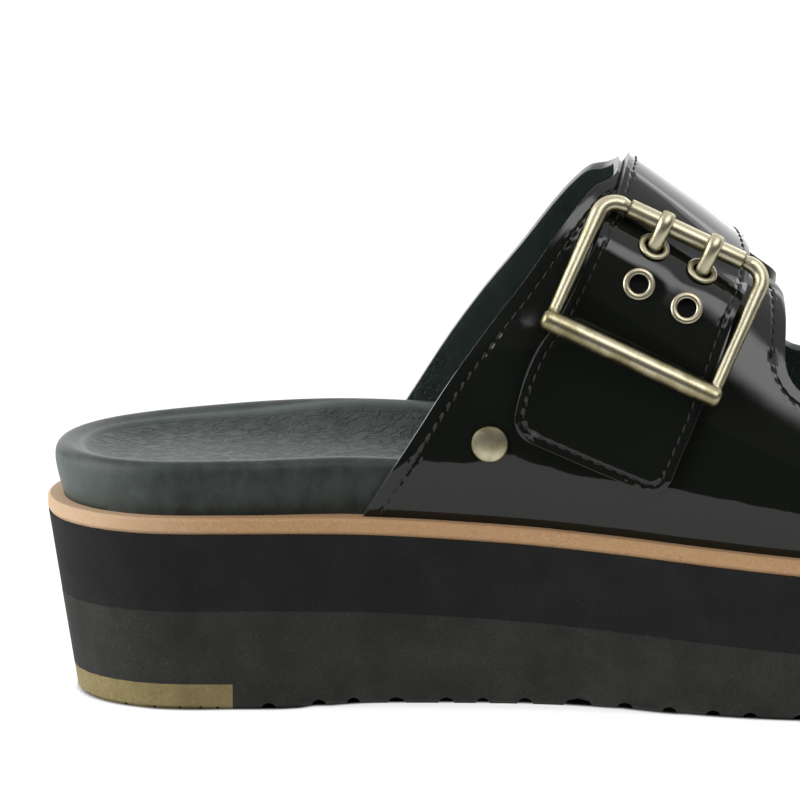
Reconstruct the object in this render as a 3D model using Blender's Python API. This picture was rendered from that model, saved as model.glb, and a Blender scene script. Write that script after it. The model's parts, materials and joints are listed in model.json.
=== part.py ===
"""Platform slide sandal for the right foot, built from named sizes in millimetres.

Stations run along the shoe from the back of the heel (0) to the tip of the toe.
The lateral side lies towards -Y, the medial side towards +Y, and the floor is at z = 0.
"""
import math

import bmesh
import bpy
import numpy as np

MM = 0.001
GAP = 0.3

# Sole and welt
LENGTH = 262.0
HEEL_ROUND = 36.0
TOE_ROUND = 64.0
ROUND_POWER = 2.15
TOE_DRIFT = 8.0
OUTLINE_POINTS = 96
DENSE_POINTS = 600
WELT_THICK = 3.6
WELT_OVERHANG = 0.5
WELT_EDGE = 0.6
MIDSOLE_THICK = 19.0
SOLE_TAPER = 0.157
# How far the top of the sole stands outside the outline
SOLE_FLARE = 0.4
TREAD_EDGE = 1.0
HEEL_TIP_LENGTH = 44.5
HEEL_TIP_HEIGHT = 6.2
CUTTER_REACH = 80.0
# Distance from the middle line over which the footbed rim changes to its side height
RIM_BLEND = 20.0

# Upper
UPPER_WALL = 2.2
ARCH_POWER = 2.2
SIDE_INSET = 0.5
BASE_TUCK = 2.5
TUCK_HEIGHT = 18.0
NOTCH_REAR = 175.8
NOTCH_FRONT = 194.0
NOTCH_FLOOR = 77.0
NOTCH_RIM = 86.0
REAR_COLUMNS = 10
NOTCH_COLUMNS = 6
FRONT_COLUMNS = 7
BASE_ROWS = 7
BASE_SPREAD = 1.5
CROWN_ROWS = 10
# Stations between which each cut edge of the upper is looked for
REAR_EDGE_REACH = (60.0, 150.0)
REAR_BAND_FRONT_REACH = (160.0, 185.0)
FRONT_BAND_REAR_REACH = (180.0, 205.0)
FRONT_EDGE_REACH = (205.0, 255.0)
HALVINGS = 30
STATION_STEP = 0.5
TURN_STEP = 0.002

# Straps, eyelets and stud
STRAP_THICK = 2.0
TAIL_CORNER = 5.0
STRAP_COLUMNS = 4
STRAP_ROWS = 20
# Row turns close to a strap end, and how far from its ends the even rows run
CORNER_TURNS = (0.0, 0.004, 0.009, 0.019)
TAIL_MARGIN = 0.03
FAR_MARGIN = 0.024
SHARE_STEP = 0.02
ALONG_STEP = 0.004
EYELET_SHARES = (0.36, 0.70)
EYELET_OUTER = 4.1
EYELET_BORE = 2.6
EYELET_BARREL = 2.95
STRAP_HOLE = 3.3
EYELET_SIDES = 10
STUD_STATION = 106.0
STUD_TURN = 0.05
STUD_RADIUS = 4.35
STUD_THICK = 1.2
STUD_BEVEL = 0.4
STUD_SIDES = 24

# Buckles
BAR_RADIUS = 2.5
SIDE_RADIUS = 1.65
AXLE_RADIUS = 1.1
CENTRE_RADIUS = 1.0
ROLLER_RADIUS = 2.25
ROLLER_BORE = 1.45
LOWER_CORNER = 4.0
UPPER_CORNER = 5.5
PRONG_WIDTH = 1.7
PRONG_THICK = 1.0
PRONG_STEPS = 11
# Prong: how deep it dips below the strap, then its points before, over and past the roller
PRONG_DIP = 0.8
PRONG_SET_BACK = 1.2
PRONG_CLEAR = 0.6
PRONG_BEFORE = 1.6
PRONG_PAST = 0.7
PRONG_TIP = 2.0
PRONG_TIP_DROP = 0.6
RING_SIDES = 8
ROLLER_SIDES = 12
CORNER_STEPS = 5

SECTION_COLUMNS = ("station", "lateral", "medial", "welt_top", "ground", "lateral_rim",
                   "medial_rim", "seat", "bed_foot", "bed_rim", "crest")
SECTIONS = (
    (0.0, 33.5, 33.5, 48.0, 0.0, 13.0, 13.0, 9.5, 3.4, 0.5, 224.0),
    (25.0, 34.0, 33.5, 48.1, 0.0, 13.2, 14.3, 9.0, 3.5, 0.7, 208.0),
    (50.0, 33.9, 33.0, 48.2, 0.0, 13.4, 16.5, 9.0, 3.6, 1.3, 191.0),
    (75.0, 32.6, 30.6, 47.8, 1.2, 13.9, 18.6, 9.8, 5.9, 3.7, 174.0),
    (110.0, 33.6, 31.0, 46.0, 1.4, 13.6, 18.5, 9.5, 5.9, 3.7, 149.0),
    (135.0, 36.6, 36.0, 44.0, 1.2, 13.0, 16.5, 9.0, 5.9, 3.7, 131.0),
    (155.0, 40.0, 40.5, 42.1, 0.4, 12.5, 14.5, 8.5, 5.9, 3.8, 116.9),
    (175.0, 43.3, 44.2, 40.4, 0.0, 12.0, 13.0, 8.5, 5.8, 3.9, 102.0),
    (195.0, 45.5, 45.5, 39.0, 0.0, 11.5, 12.0, 8.5, 5.9, 4.2, 91.0),
    (220.0, 43.5, 45.0, 38.0, 0.0, 11.0, 11.0, 8.3, 6.0, 4.7, 79.5),
    (242.0, 38.0, 42.5, 38.4, 2.2, 10.5, 10.5, 8.0, 6.0, 4.9, 71.0),
    (262.0, 31.0, 38.0, 39.5, 5.0, 10.0, 10.0, 8.0, 3.6, 1.6, 64.0),
)

# Where each cut edge of the upper lies for a given height
EDGE_COLUMNS = ("height", "station")
REAR_EDGE = ((44.0, 73.9), (55.7, 80.7), (68.6, 88.8), (81.1, 96.7), (93.3, 105.4),
             (104.6, 114.3), (115.7, 122.4), (122.0, 127.6), (125.4, 131.3), (126.6, 135.0),
             (128.5, 137.0), (132.0, 137.5))
REAR_BAND_FRONT = ((40.0, 175.8), (86.0, 175.8), (95.0, 176.4), (98.4, 176.2), (100.2, 175.2),
                   (102.5, 172.4), (105.0, 168.6), (107.0, 166.2), (112.0, 165.0))
FRONT_BAND_REAR = ((40.0, 194.0), (82.0, 194.0), (88.0, 192.4), (96.0, 190.0))
FRONT_EDGE = ((36.0, 243.0), (50.0, 240.0), (64.0, 233.0), (76.0, 225.0), (84.0, 222.0))

# Straps: turn runs from the lateral base (0) over the crest (0.5) to the medial base (1)
STRAP_COLUMN_NAMES = ("turn", "skew", "rear", "front", "lift")
REAR_STRAP = (
    (0.049, 0.024, 111.0, 147.5, 0.3),
    (0.090, 0.016, 113.8, 151.5, 0.3),
    (0.125, 0.014, 117.5, 154.6, 0.3),
    (0.155, 0.019, 122.2, 156.5, 0.5),
    (0.195, 0.010, 125.8, 159.1, 1.8),
    (0.235, 0.000, 128.7, 161.3, 3.0),
    (0.266, -0.008, 130.5, 162.9, 3.6),
    (0.300, -0.014, 132.2, 164.7, 2.2),
    (0.336, -0.022, 134.5, 166.2, 0.5),
    (0.410, -0.015, 137.0, 167.0, 0.3),
    (0.500, 0.000, 138.4, 166.2, 0.3),
    (0.640, 0.000, 138.6, 163.5, 0.3),
)
FRONT_STRAP = (
    (0.090, 0.008, 194.8, 226.5, 0.3),
    (0.160, 0.010, 194.2, 226.0, 0.3),
    (0.240, 0.005, 193.6, 225.2, 0.6),
    (0.290, -0.005, 193.2, 224.7, 2.0),
    (0.340, -0.017, 192.9, 224.2, 3.2),
    (0.380, -0.025, 192.7, 223.9, 3.5),
    (0.420, -0.032, 192.6, 223.7, 2.2),
    (0.465, -0.040, 192.3, 223.2, 0.5),
    (0.560, -0.020, 192.0, 222.8, 0.3),
    (0.700, 0.000, 192.4, 222.0, 0.3),
)
# Buckle rows: where its bars cross the strap, as turns, and how far they stand off the upper
REAR_BUCKLE = {"bar": 0.155, "lower_eyelets": 0.238, "upper_eyelets": 0.297, "roller": 0.334,
               "bar_rise": 7.1, "roller_rise": 6.4, "half_width": 21.3, "roller_half": 14.8,
               "centre_drop": 2.3}
FRONT_BUCKLE = {"bar": 0.247, "lower_eyelets": 0.342, "upper_eyelets": 0.417, "roller": 0.463,
                "bar_rise": 5.9, "roller_rise": 6.3, "half_width": 20.6, "roller_half": 13.6,
                "centre_drop": 1.6}
CENTRE_SHARE = 0.62

# Cross channels of the tread, open at both sides of the sole: station, half width, depth
CHANNELS = (
    (53.4, 1.8, 1.7), (65.4, 1.8, 1.7), (73.7, 1.7, 1.7), (84.0, 2.2, 1.7), (95.9, 1.9, 1.7),
    (104.6, 1.7, 1.7), (114.7, 1.9, 1.8), (127.4, 3.6, 2.2), (138.5, 2.0, 1.7), (149.0, 1.8, 1.6),
    (159.4, 1.9, 1.6), (168.1, 1.9, 1.6), (180.0, 1.9, 1.6), (192.0, 1.9, 1.6), (204.0, 1.9, 1.6),
    (216.0, 1.9, 1.6), (228.0, 1.9, 1.6), (240.0, 1.9, 1.6),
)
TIP_CHANNELS = ((19.0, 0.5, 0.9), (26.0, 0.5, 0.9), (32.0, 0.5, 0.9), (37.0, 0.5, 0.9),
                (41.0, 0.5, 0.9))
CHANNEL_SIDES = 8

# Finishes: colour, roughness, metallic
FINISHES = {
    "outsole_foam": ((0.075, 0.075, 0.08), 0.75, 0.0),
    "heel_rubber": ((0.16, 0.13, 0.08), 0.6, 0.0),
    "midsole_foam": ((0.02, 0.02, 0.022), 0.7, 0.0),
    "welt_board": ((0.36, 0.28, 0.19), 0.85, 0.0),
    "footbed_leather": ((0.05, 0.055, 0.05), 0.6, 0.0),
    "patent_leather": ((0.012, 0.012, 0.013), 0.15, 0.0),
    "antique_brass": ((0.42, 0.30, 0.16), 0.35, 1.0),
}


def make_curve(xs, ys):
    """Return a smooth function through the points that never swings past them."""
    xs = np.asarray(xs, float)
    ys = np.asarray(ys, float)
    steps = np.diff(xs)
    rises = np.diff(ys) / steps
    slopes = np.concatenate(([rises[0]], np.zeros(len(xs) - 2), [rises[-1]]))
    for i in range(1, len(xs) - 1):
        product = rises[i - 1] * rises[i]
        if product > 0.0:
            slopes[i] = 2.0 * product / (rises[i - 1] + rises[i])

    def curve(x):
        i = min(max(int(np.searchsorted(xs, x)) - 1, 0), len(steps) - 1)
        u = min(max((x - xs[i]) / steps[i], 0.0), 1.0)
        start = (1.0 + 2.0 * u) * (1.0 - u) ** 2 * ys[i]
        end = u * u * (3.0 - 2.0 * u) * ys[i + 1]
        bend = u * (1.0 - u) ** 2 * slopes[i] + u * u * (u - 1.0) * slopes[i + 1]
        return start + end + bend * steps[i]

    return curve


def table_curves(names, rows):
    """Return one smooth function per column, read against the first column."""
    columns = list(zip(*rows))
    return {name: make_curve(columns[0], column) for name, column in zip(names[1:], columns[1:])}


SECTION = table_curves(SECTION_COLUMNS, SECTIONS)


def edge_curve(rows):
    return table_curves(EDGE_COLUMNS, rows)["station"]


def end_share(station):
    """How much of the full width is left where the heel and toe round off."""
    if station < HEEL_ROUND:
        reach = 1.0 - station / HEEL_ROUND
    else:
        reach = max(0.0, (station - LENGTH + TOE_ROUND) / TOE_ROUND)
    return max(0.0, 1.0 - min(reach, 1.0) ** ROUND_POWER) ** (1.0 / ROUND_POWER)


def edge_y(side, station):
    """Y of the welt outline at a station, on the lateral or the medial side."""
    share = end_share(station)
    drift = TOE_DRIFT * (1.0 - share) if station > LENGTH / 2.0 else 0.0
    sign = -1.0 if side == "lateral" else 1.0
    return sign * SECTION[side](station) * share + drift


def even_side(side):
    """Points spaced evenly along one side of the outline, heel to toe."""
    turns = np.linspace(0.0, math.pi, DENSE_POINTS)
    stations = LENGTH * (1.0 - np.cos(turns)) / 2.0
    points = np.array([(s, edge_y(side, s)) for s in stations])
    run = np.concatenate(([0.0], np.cumsum(np.linalg.norm(np.diff(points, axis=0), axis=1))))
    marks = np.linspace(0.0, run[-1], OUTLINE_POINTS // 2 + 1)
    return np.column_stack([np.interp(marks, run, points[:, k]) for k in range(2)])


def outline():
    """Closed outline from the heel back along the lateral side and home on the medial side."""
    lateral = even_side("lateral")
    medial = even_side("medial")
    return np.vstack([lateral, medial[-2:0:-1]])


def outline_normals(points):
    along = np.roll(points, -1, axis=0) - np.roll(points, 1, axis=0)
    outward = np.column_stack([along[:, 1], -along[:, 0]])
    return outward / np.linalg.norm(outward, axis=1, keepdims=True)


OUTLINE = outline()
OUTWARD = outline_normals(OUTLINE)


def ring(inset, height):
    """One closed ring: the outline pulled in by inset(station) at height(station, y)."""
    points = []
    for place, outward in zip(OUTLINE, OUTWARD):
        x, y = place - outward * inset(place[0])
        points.append((x, y, height(x, y)))
    return np.array(points)


def loft_faces(ring_count):
    """Faces of a stack of outline rings, with cross strips closing the first and last."""
    n = OUTLINE_POINTS
    faces = []
    for k in range(ring_count - 1):
        for i in range(n):
            j = (i + 1) % n
            faces.append((k * n + i, k * n + j, (k + 1) * n + j, (k + 1) * n + i))
    for base, flip in ((0, True), ((ring_count - 1) * n, False)):
        for i in range(n // 2):
            quad = [base + i, base + i + 1, base + (n - i - 1) % n, base + (n - i) % n]
            corners = list(dict.fromkeys(quad))
            faces.append(tuple(reversed(corners)) if flip else tuple(corners))
    return faces


def material(name, finish):
    """A Principled material of its own for one object."""
    colour, roughness, metallic = FINISHES[finish]
    mat = bpy.data.materials.new(name + "_" + finish)
    mat.use_nodes = True
    shader = mat.node_tree.nodes["Principled BSDF"]
    shader.inputs["Base Color"].default_value = (*colour, 1.0)
    shader.inputs["Roughness"].default_value = roughness
    shader.inputs["Metallic"].default_value = metallic
    return mat


def add_object(name, points, faces, finish=None):
    """Make a closed mesh object from millimetre points, centred along its length."""
    shift = np.array([LENGTH / 2.0, 0.0, 0.0])
    mesh = bpy.data.meshes.new(name)
    placed = (np.asarray(points, float) - shift) * MM
    mesh.from_pydata([tuple(p) for p in placed], [], faces)
    shell = bmesh.new()
    shell.from_mesh(mesh)
    bmesh.ops.recalc_face_normals(shell, faces=shell.faces)
    bmesh.ops.triangulate(shell, faces=shell.faces)
    shell.to_mesh(mesh)
    shell.free()
    obj = bpy.data.objects.new(name, mesh)
    bpy.context.scene.collection.objects.link(obj)
    if finish:
        mesh.materials.append(material(name, finish))
    return obj


def add_cutter(name, points, faces):
    cutter = add_object(name, points, faces)
    cutter.hide_render = True
    cutter.display_type = "WIRE"
    return cutter


def apply_cut(obj, cutter, operation):
    cut = obj.modifiers.new(cutter.name, "BOOLEAN")
    cut.operation = operation
    cut.object = cutter
    cut.solver = "EXACT"


def box_mesh(low, high):
    corners = [(x, y, z) for x in (low[0], high[0]) for y in (low[1], high[1])
               for z in (low[2], high[2])]
    faces = [(0, 1, 3, 2), (4, 6, 7, 5), (0, 4, 5, 1), (2, 3, 7, 6), (0, 2, 6, 4), (1, 5, 7, 3)]
    return corners, faces


def channel_mesh(channels, floor_height):
    """Round-topped bars across the sole, one for each channel."""
    points = []
    faces = []
    for station, half_width, depth in channels:
        base = len(points)
        for side in (-CUTTER_REACH, CUTTER_REACH):
            for k in range(CHANNEL_SIDES):
                angle = 2.0 * math.pi * k / CHANNEL_SIDES
                height = floor_height(station) + depth * math.sin(angle)
                points.append((station + half_width * math.cos(angle), side, height))
        for k in range(CHANNEL_SIDES):
            j = (k + 1) % CHANNEL_SIDES
            n = CHANNEL_SIDES
            faces.append((base + k, base + j, base + n + j, base + n + k))
        faces.append(tuple(base + k for k in range(CHANNEL_SIDES)))
        faces.append(tuple(base + CHANNEL_SIDES + k for k in range(CHANNEL_SIDES)))
    return points, faces


def welt_bottom(station):
    return SECTION["welt_top"](station) - WELT_THICK


def midsole_bottom(station):
    return welt_bottom(station) - GAP - MIDSOLE_THICK


def taper(height):
    """Inset of the sole wall at a height function, growing towards the floor."""
    return lambda station: SOLE_TAPER * max(0.0, welt_bottom(station) - height(station)) - SOLE_FLARE


def outsole_blank():
    """Rings of the whole lower layer before the heel tip is parted from it."""
    ground = SECTION["ground"]
    top = lambda station: midsole_bottom(station) - GAP
    lip = lambda station: ground(station) + TREAD_EDGE
    rings = [
        ring(lambda s: taper(ground)(s) + TREAD_EDGE, lambda x, y: ground(x)),
        ring(taper(lip), lambda x, y: lip(x)),
        ring(taper(top), lambda x, y: top(x)),
    ]
    return np.vstack(rings), loft_faces(len(rings))


def build_outsole():
    points, faces = outsole_blank()
    sole = add_object("outsole", points, faces, "outsole_foam")
    low = (-CUTTER_REACH, -CUTTER_REACH, -CUTTER_REACH)
    pocket = box_mesh(low, (HEEL_TIP_LENGTH + GAP, CUTTER_REACH, HEEL_TIP_HEIGHT + GAP))
    apply_cut(sole, add_cutter("heel_pocket", *pocket), "DIFFERENCE")
    channels = channel_mesh(CHANNELS, SECTION["ground"])
    apply_cut(sole, add_cutter("tread_channels", *channels), "DIFFERENCE")


def build_heel_tip():
    points, faces = outsole_blank()
    tip = add_object("heel_tip", points, faces, "heel_rubber")
    low = (-CUTTER_REACH, -CUTTER_REACH, -CUTTER_REACH)
    keep = box_mesh(low, (HEEL_TIP_LENGTH, CUTTER_REACH, HEEL_TIP_HEIGHT))
    apply_cut(tip, add_cutter("heel_tip_block", *keep), "INTERSECT")
    channels = channel_mesh(TIP_CHANNELS, SECTION["ground"])
    apply_cut(tip, add_cutter("heel_tip_channels", *channels), "DIFFERENCE")


def build_midsole():
    top = lambda station: welt_bottom(station) - GAP
    rings = [ring(taper(midsole_bottom), lambda x, y: midsole_bottom(x)),
             ring(taper(top), lambda x, y: top(x))]
    add_object("midsole", np.vstack(rings), loft_faces(len(rings)), "midsole_foam")


def build_welt():
    top = SECTION["welt_top"]
    rings = [
        ring(lambda s: WELT_EDGE - WELT_OVERHANG, lambda x, y: welt_bottom(x)),
        ring(lambda s: -WELT_OVERHANG, lambda x, y: welt_bottom(x) + WELT_EDGE),
        ring(lambda s: -WELT_OVERHANG, lambda x, y: top(x) - WELT_EDGE),
        ring(lambda s: WELT_EDGE - WELT_OVERHANG, lambda x, y: top(x)),
    ]
    add_object("welt", np.vstack(rings), loft_faces(len(rings)), "welt_board")


def rim_height(x, y):
    side = "lateral_rim" if y < 0.0 else "medial_rim"
    share = min(1.0, abs(y) / RIM_BLEND)
    level = (SECTION["lateral_rim"](x) + SECTION["medial_rim"](x)) / 2.0
    return SECTION["welt_top"](x) + level + (SECTION[side](x) - level) * share


def seat_height(x):
    return SECTION["welt_top"](x) + SECTION["seat"](x)


# Rings of the footbed: extra inset from its rim, and how far it climbs from seat to rim
BED_DISH = ((2.4, 1.0), (4.5, 0.94), (8.0, 0.62), (13.0, 0.28), (19.0, 0.08))
BED_EDGE = 2.6


def build_footbed():
    top = SECTION["welt_top"]
    foot = SECTION["bed_foot"]
    rim = SECTION["bed_rim"]
    rings = [ring(foot, lambda x, y: top(x) + GAP),
             ring(rim, lambda x, y: rim_height(x, y) - BED_EDGE)]
    for inset, climb in BED_DISH:
        height = lambda x, y, c=climb: seat_height(x) + c * (rim_height(x, y) - seat_height(x))
        rings.append(ring(lambda s, d=inset: rim(s) + d, height))
    add_object("footbed", np.vstack(rings), loft_faces(len(rings)), "footbed_leather")


def arch(station, turn):
    """Outer face of the upper: an arch over the foot at each station."""
    angle = math.pi * turn
    base = SECTION["welt_top"](station) + GAP
    climb = abs(math.sin(angle)) ** (2.0 / ARCH_POWER)
    rise = (SECTION["crest"](station) - base) * climb
    side = "lateral" if turn < 0.5 else "medial"
    tuck = BASE_TUCK * max(0.0, 1.0 - rise / TUCK_HEIGHT) ** 2
    reach = abs(edge_y(side, station)) - SIDE_INSET - tuck
    across = abs(math.cos(angle)) ** (2.0 / ARCH_POWER)
    return np.array([station, reach * across * (-1.0 if turn < 0.5 else 1.0), base + rise])


def arch_normal(station, turn):
    along = arch(station + STATION_STEP, turn) - arch(station - STATION_STEP, turn)
    after = arch(station, min(turn + TURN_STEP, 1.0))
    around = after - arch(station, max(turn - TURN_STEP, 0.0))
    outward = np.cross(along, around)
    return outward / np.linalg.norm(outward)


def off_arch(station, turn, distance):
    return arch(station, turn) + arch_normal(station, turn) * distance


def turn_at_height(station, height):
    """Lateral turn at which the arch of a station reaches a height."""
    base = SECTION["welt_top"](station) + GAP
    climb = (height - base) / (SECTION["crest"](station) - base)
    climb = min(max(climb, 0.0), 1.0)
    return math.asin(climb ** (ARCH_POWER / 2.0)) / math.pi


def meet_edge(edge, turn, low, high):
    """Station where the arch line of a turn crosses a cut edge, by halving."""
    side = 1.0 if (low - edge(arch(low, turn)[2])) < 0.0 else -1.0
    for _ in range(HALVINGS):
        middle = (low + high) / 2.0
        if side * (middle - edge(arch(middle, turn)[2])) < 0.0:
            low = middle
        else:
            high = middle
    return (low + high) / 2.0


def notch_height(station):
    """Lower edge of the opening between the two bands, a half round."""
    middle = (NOTCH_REAR + NOTCH_FRONT) / 2.0
    reach = min(1.0, abs(station - middle) / (NOTCH_FRONT - middle))
    return NOTCH_RIM - (NOTCH_RIM - NOTCH_FLOOR) * math.sqrt(1.0 - reach * reach)


def row_turns(base_turn):
    """Turns of all rows of one column, with the base rows ending at base_turn."""
    lower = [base_turn * (k / BASE_ROWS) ** BASE_SPREAD for k in range(BASE_ROWS)]
    crown = [base_turn + (0.5 - base_turn) * k / CROWN_ROWS for k in range(CROWN_ROWS)]
    half = lower + crown
    return half + [0.5] + [1.0 - t for t in reversed(half)]


def upper_columns():
    """Stations and turns of the upper's grid, as one list of rows per column."""
    rear_edge = edge_curve(REAR_EDGE)
    rear_front = edge_curve(REAR_BAND_FRONT)
    front_rear = edge_curve(FRONT_BAND_REAR)
    front_edge = edge_curve(FRONT_EDGE)
    columns = []
    for share in np.linspace(0.0, 1.0, REAR_COLUMNS + 1):
        rows = []
        for turn in row_turns(turn_at_height(NOTCH_REAR, NOTCH_RIM)):
            start = meet_edge(rear_edge, turn, *REAR_EDGE_REACH)
            end = meet_edge(rear_front, turn, *REAR_BAND_FRONT_REACH)
            rows.append((start + (end - start) * share, turn))
        columns.append(rows)
    for k in range(1, NOTCH_COLUMNS):
        angle = math.pi * k / NOTCH_COLUMNS
        middle = (NOTCH_REAR + NOTCH_FRONT) / 2.0
        station = middle - (NOTCH_FRONT - middle) * math.cos(angle)
        base = turn_at_height(station, notch_height(station))
        columns.append([(station, turn) for turn in row_turns(base)])
    for share in np.linspace(0.0, 1.0, FRONT_COLUMNS + 1):
        rows = []
        for turn in row_turns(turn_at_height(NOTCH_FRONT, NOTCH_RIM)):
            start = meet_edge(front_rear, turn, *FRONT_BAND_REAR_REACH)
            end = meet_edge(front_edge, turn, *FRONT_EDGE_REACH)
            rows.append((start + (end - start) * share, turn))
        columns.append(rows)
    return columns


def thicken(outer, inner, quads):
    """Close a sheet of quads between its outer and inner points."""
    count = len(outer)
    faces = list(quads)
    faces += [tuple(v + count for v in reversed(quad)) for quad in quads]
    edges = {}
    for quad in quads:
        for a, b in zip(quad, quad[1:] + quad[:1]):
            edges[(a, b)] = True
    for a, b in edges:
        if (b, a) not in edges:
            faces.append((b, a, a + count, b + count))
    used = sorted({v for face in faces for v in face})
    index = {v: k for k, v in enumerate(used)}
    points = np.vstack([outer, inner])[used]
    return points, [tuple(index[v] for v in face) for face in faces]


def build_upper():
    columns = upper_columns()
    rows = len(columns[0])
    places = [place for column in columns for place in column]
    outer = np.array([arch(*place) for place in places])
    inner = np.array([off_arch(*place, -UPPER_WALL) for place in places])
    quads = []
    notch = range(REAR_COLUMNS, REAR_COLUMNS + NOTCH_COLUMNS)
    for c in range(len(columns) - 1):
        for r in range(rows - 1):
            open_row = BASE_ROWS <= r < rows - 1 - BASE_ROWS
            if c in notch and open_row:
                continue
            corner = c * rows + r
            quads.append((corner, corner + rows, corner + rows + 1, corner + 1))
    add_object("upper", *thicken(outer, inner, quads), "patent_leather")


def strap_point(curves, turn, share, distance):
    """Point on a strap: share runs across it, distance is measured up from its inner face."""
    station = curves["rear"](turn) + (curves["front"](turn) - curves["rear"](turn)) * share
    place = turn + curves["skew"](turn) * (0.5 - share)
    return off_arch(station, place, curves["lift"](turn) + distance)


def strap_frame(curves, turn, share):
    """Origin on the outer face of a strap with its across, along and outward directions."""
    origin = strap_point(curves, turn, share, STRAP_THICK)
    across = strap_point(curves, turn, share + SHARE_STEP, STRAP_THICK) - origin
    along = strap_point(curves, turn + ALONG_STEP, share, STRAP_THICK) - origin
    outward = np.cross(across, along)
    outward = outward / np.linalg.norm(outward)
    across = across / np.linalg.norm(across)
    return origin, across, np.cross(outward, across), outward


def tail_turns(table):
    """Row turns from the tail to the far end, close together round the corners."""
    first = table[0][0]
    last = table[-1][0]
    body = np.linspace(first + TAIL_MARGIN, last - FAR_MARGIN, STRAP_ROWS)
    far = [last - step for step in reversed(CORNER_TURNS)]
    return [first + step for step in CORNER_TURNS] + list(body) + far


def corner_inset(distance):
    if distance >= TAIL_CORNER:
        return 0.0
    return TAIL_CORNER - math.sqrt(TAIL_CORNER ** 2 - (TAIL_CORNER - distance) ** 2)


def build_strap(name, table, buckle):
    curves = table_curves(STRAP_COLUMN_NAMES, table)
    turns = tail_turns(table)
    middle = [strap_point(curves, turn, 0.5, 0.0) for turn in turns]
    run = np.concatenate(([0.0], np.cumsum(np.linalg.norm(np.diff(middle, axis=0), axis=1))))
    outer = []
    inner = []
    for turn, passed in zip(turns, run):
        span = strap_point(curves, turn, 1.0, 0.0) - strap_point(curves, turn, 0.0, 0.0)
        inset = corner_inset(min(passed, run[-1] - passed)) / np.linalg.norm(span)
        for share in np.linspace(inset, 1.0 - inset, STRAP_COLUMNS + 1):
            outer.append(strap_point(curves, turn, share, STRAP_THICK))
            inner.append(strap_point(curves, turn, share, 0.0))
    quads = []
    across = STRAP_COLUMNS + 1
    for r in range(len(turns) - 1):
        for c in range(STRAP_COLUMNS):
            corner = r * across + c
            quads.append((corner, corner + 1, corner + across + 1, corner + across))
    strap = add_object(name, *thicken(np.array(outer), np.array(inner), quads), "patent_leather")
    holes = [strap_frame(curves, buckle[row], share) for row in ("lower_eyelets", "upper_eyelets")
             for share in EYELET_SHARES]
    points = []
    faces = []
    for origin, across_axis, along_axis, outward in holes:
        base = len(points)
        for height in (-STRAP_THICK * 2.0, STRAP_THICK):
            points += circle(origin + outward * height, across_axis, along_axis, STRAP_HOLE)
        faces += tube_faces(base, 2, EYELET_SIDES, capped=True)
    apply_cut(strap, add_cutter(name + "_holes", points, faces), "DIFFERENCE")
    for k, hole in enumerate(holes):
        build_eyelet(name.replace("strap", "eyelet") + "_" + str(k + 1), hole)
    return curves


def circle(centre, first, second, radius, sides=EYELET_SIDES, squash=1.0):
    points = []
    for k in range(sides):
        angle = 2.0 * math.pi * k / sides
        points.append(centre + (first * math.cos(angle) + second * math.sin(angle) * squash) * radius)
    return points


def tube_faces(base, rings, sides, capped=False, closed=False):
    """Faces round a run of rings, with flat ends or joined end to end."""
    faces = []
    for r in range(rings if closed else rings - 1):
        for k in range(sides):
            j = (k + 1) % sides
            near = base + r * sides
            far = base + ((r + 1) % rings) * sides
            faces.append((near + k, near + j, far + j, far + k))
    if capped:
        faces.append(tuple(base + k for k in range(sides)))
        faces.append(tuple(base + (rings - 1) * sides + k for k in range(sides)))
    return faces


# Section of an eyelet: radius and height above the strap's face
EYELET_SECTION = ((EYELET_BORE, -1.7), (EYELET_BARREL, -1.7), (EYELET_BARREL, 0.15),
                  (EYELET_OUTER, 0.15), (EYELET_OUTER, 0.6), (3.5, 1.0), (2.9, 0.9),
                  (EYELET_BORE, 0.5))


def build_eyelet(name, hole):
    origin, across, along, outward = hole
    points = []
    for radius, height in EYELET_SECTION:
        points += circle(origin + outward * height, across, along, radius)
    faces = tube_faces(0, len(EYELET_SECTION), EYELET_SIDES, closed=True)
    add_object(name, points, faces, "antique_brass")


def buckle_frame(curves, buckle):
    """Flat frame of a buckle: middle of its lower bar, its axes and the height to the roller."""
    low = off_arch(*strap_place(curves, buckle["bar"]), buckle["bar_rise"])
    high = off_arch(*strap_place(curves, buckle["roller"]), buckle["roller_rise"])
    along = high - low
    height = np.linalg.norm(along)
    along = along / height
    across = strap_point(curves, buckle["bar"], 1.0, 0.0) - strap_point(curves, buckle["bar"], 0.0, 0.0)
    across = across + strap_point(curves, buckle["roller"], 1.0, 0.0)
    across = across - strap_point(curves, buckle["roller"], 0.0, 0.0)
    across = across - along * np.dot(across, along)
    across = across / np.linalg.norm(across)
    return low, across, along, np.cross(across, along), height


def strap_place(curves, turn):
    return (curves["rear"](turn) + curves["front"](turn)) / 2.0, turn


def frame_path(half_width, height):
    """Closed path of the frame wire as across, along and wire radius."""
    path = []
    corners = ((half_width, 0.0, LOWER_CORNER, -90.0), (half_width, height, UPPER_CORNER, 0.0),
               (-half_width, height, UPPER_CORNER, 90.0), (-half_width, 0.0, LOWER_CORNER, 180.0))
    for corner_across, corner_along, radius, start in corners:
        centre_across = corner_across - math.copysign(radius, corner_across)
        centre_along = corner_along + (radius if corner_along == 0.0 else -radius)
        for step in range(CORNER_STEPS + 1):
            angle = math.radians(start + 90.0 * step / CORNER_STEPS)
            point_along = centre_along + radius * math.sin(angle)
            if corner_along == 0.0:
                share = (point_along - corner_along) / radius
                wire = BAR_RADIUS + (SIDE_RADIUS - BAR_RADIUS) * share
            else:
                share = (point_along - centre_along) / radius
                wire = SIDE_RADIUS + (AXLE_RADIUS - SIDE_RADIUS) * max(0.0, share * 2.0 - 1.0)
            path.append((centre_across + radius * math.cos(angle), point_along, wire))
    return path


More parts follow.
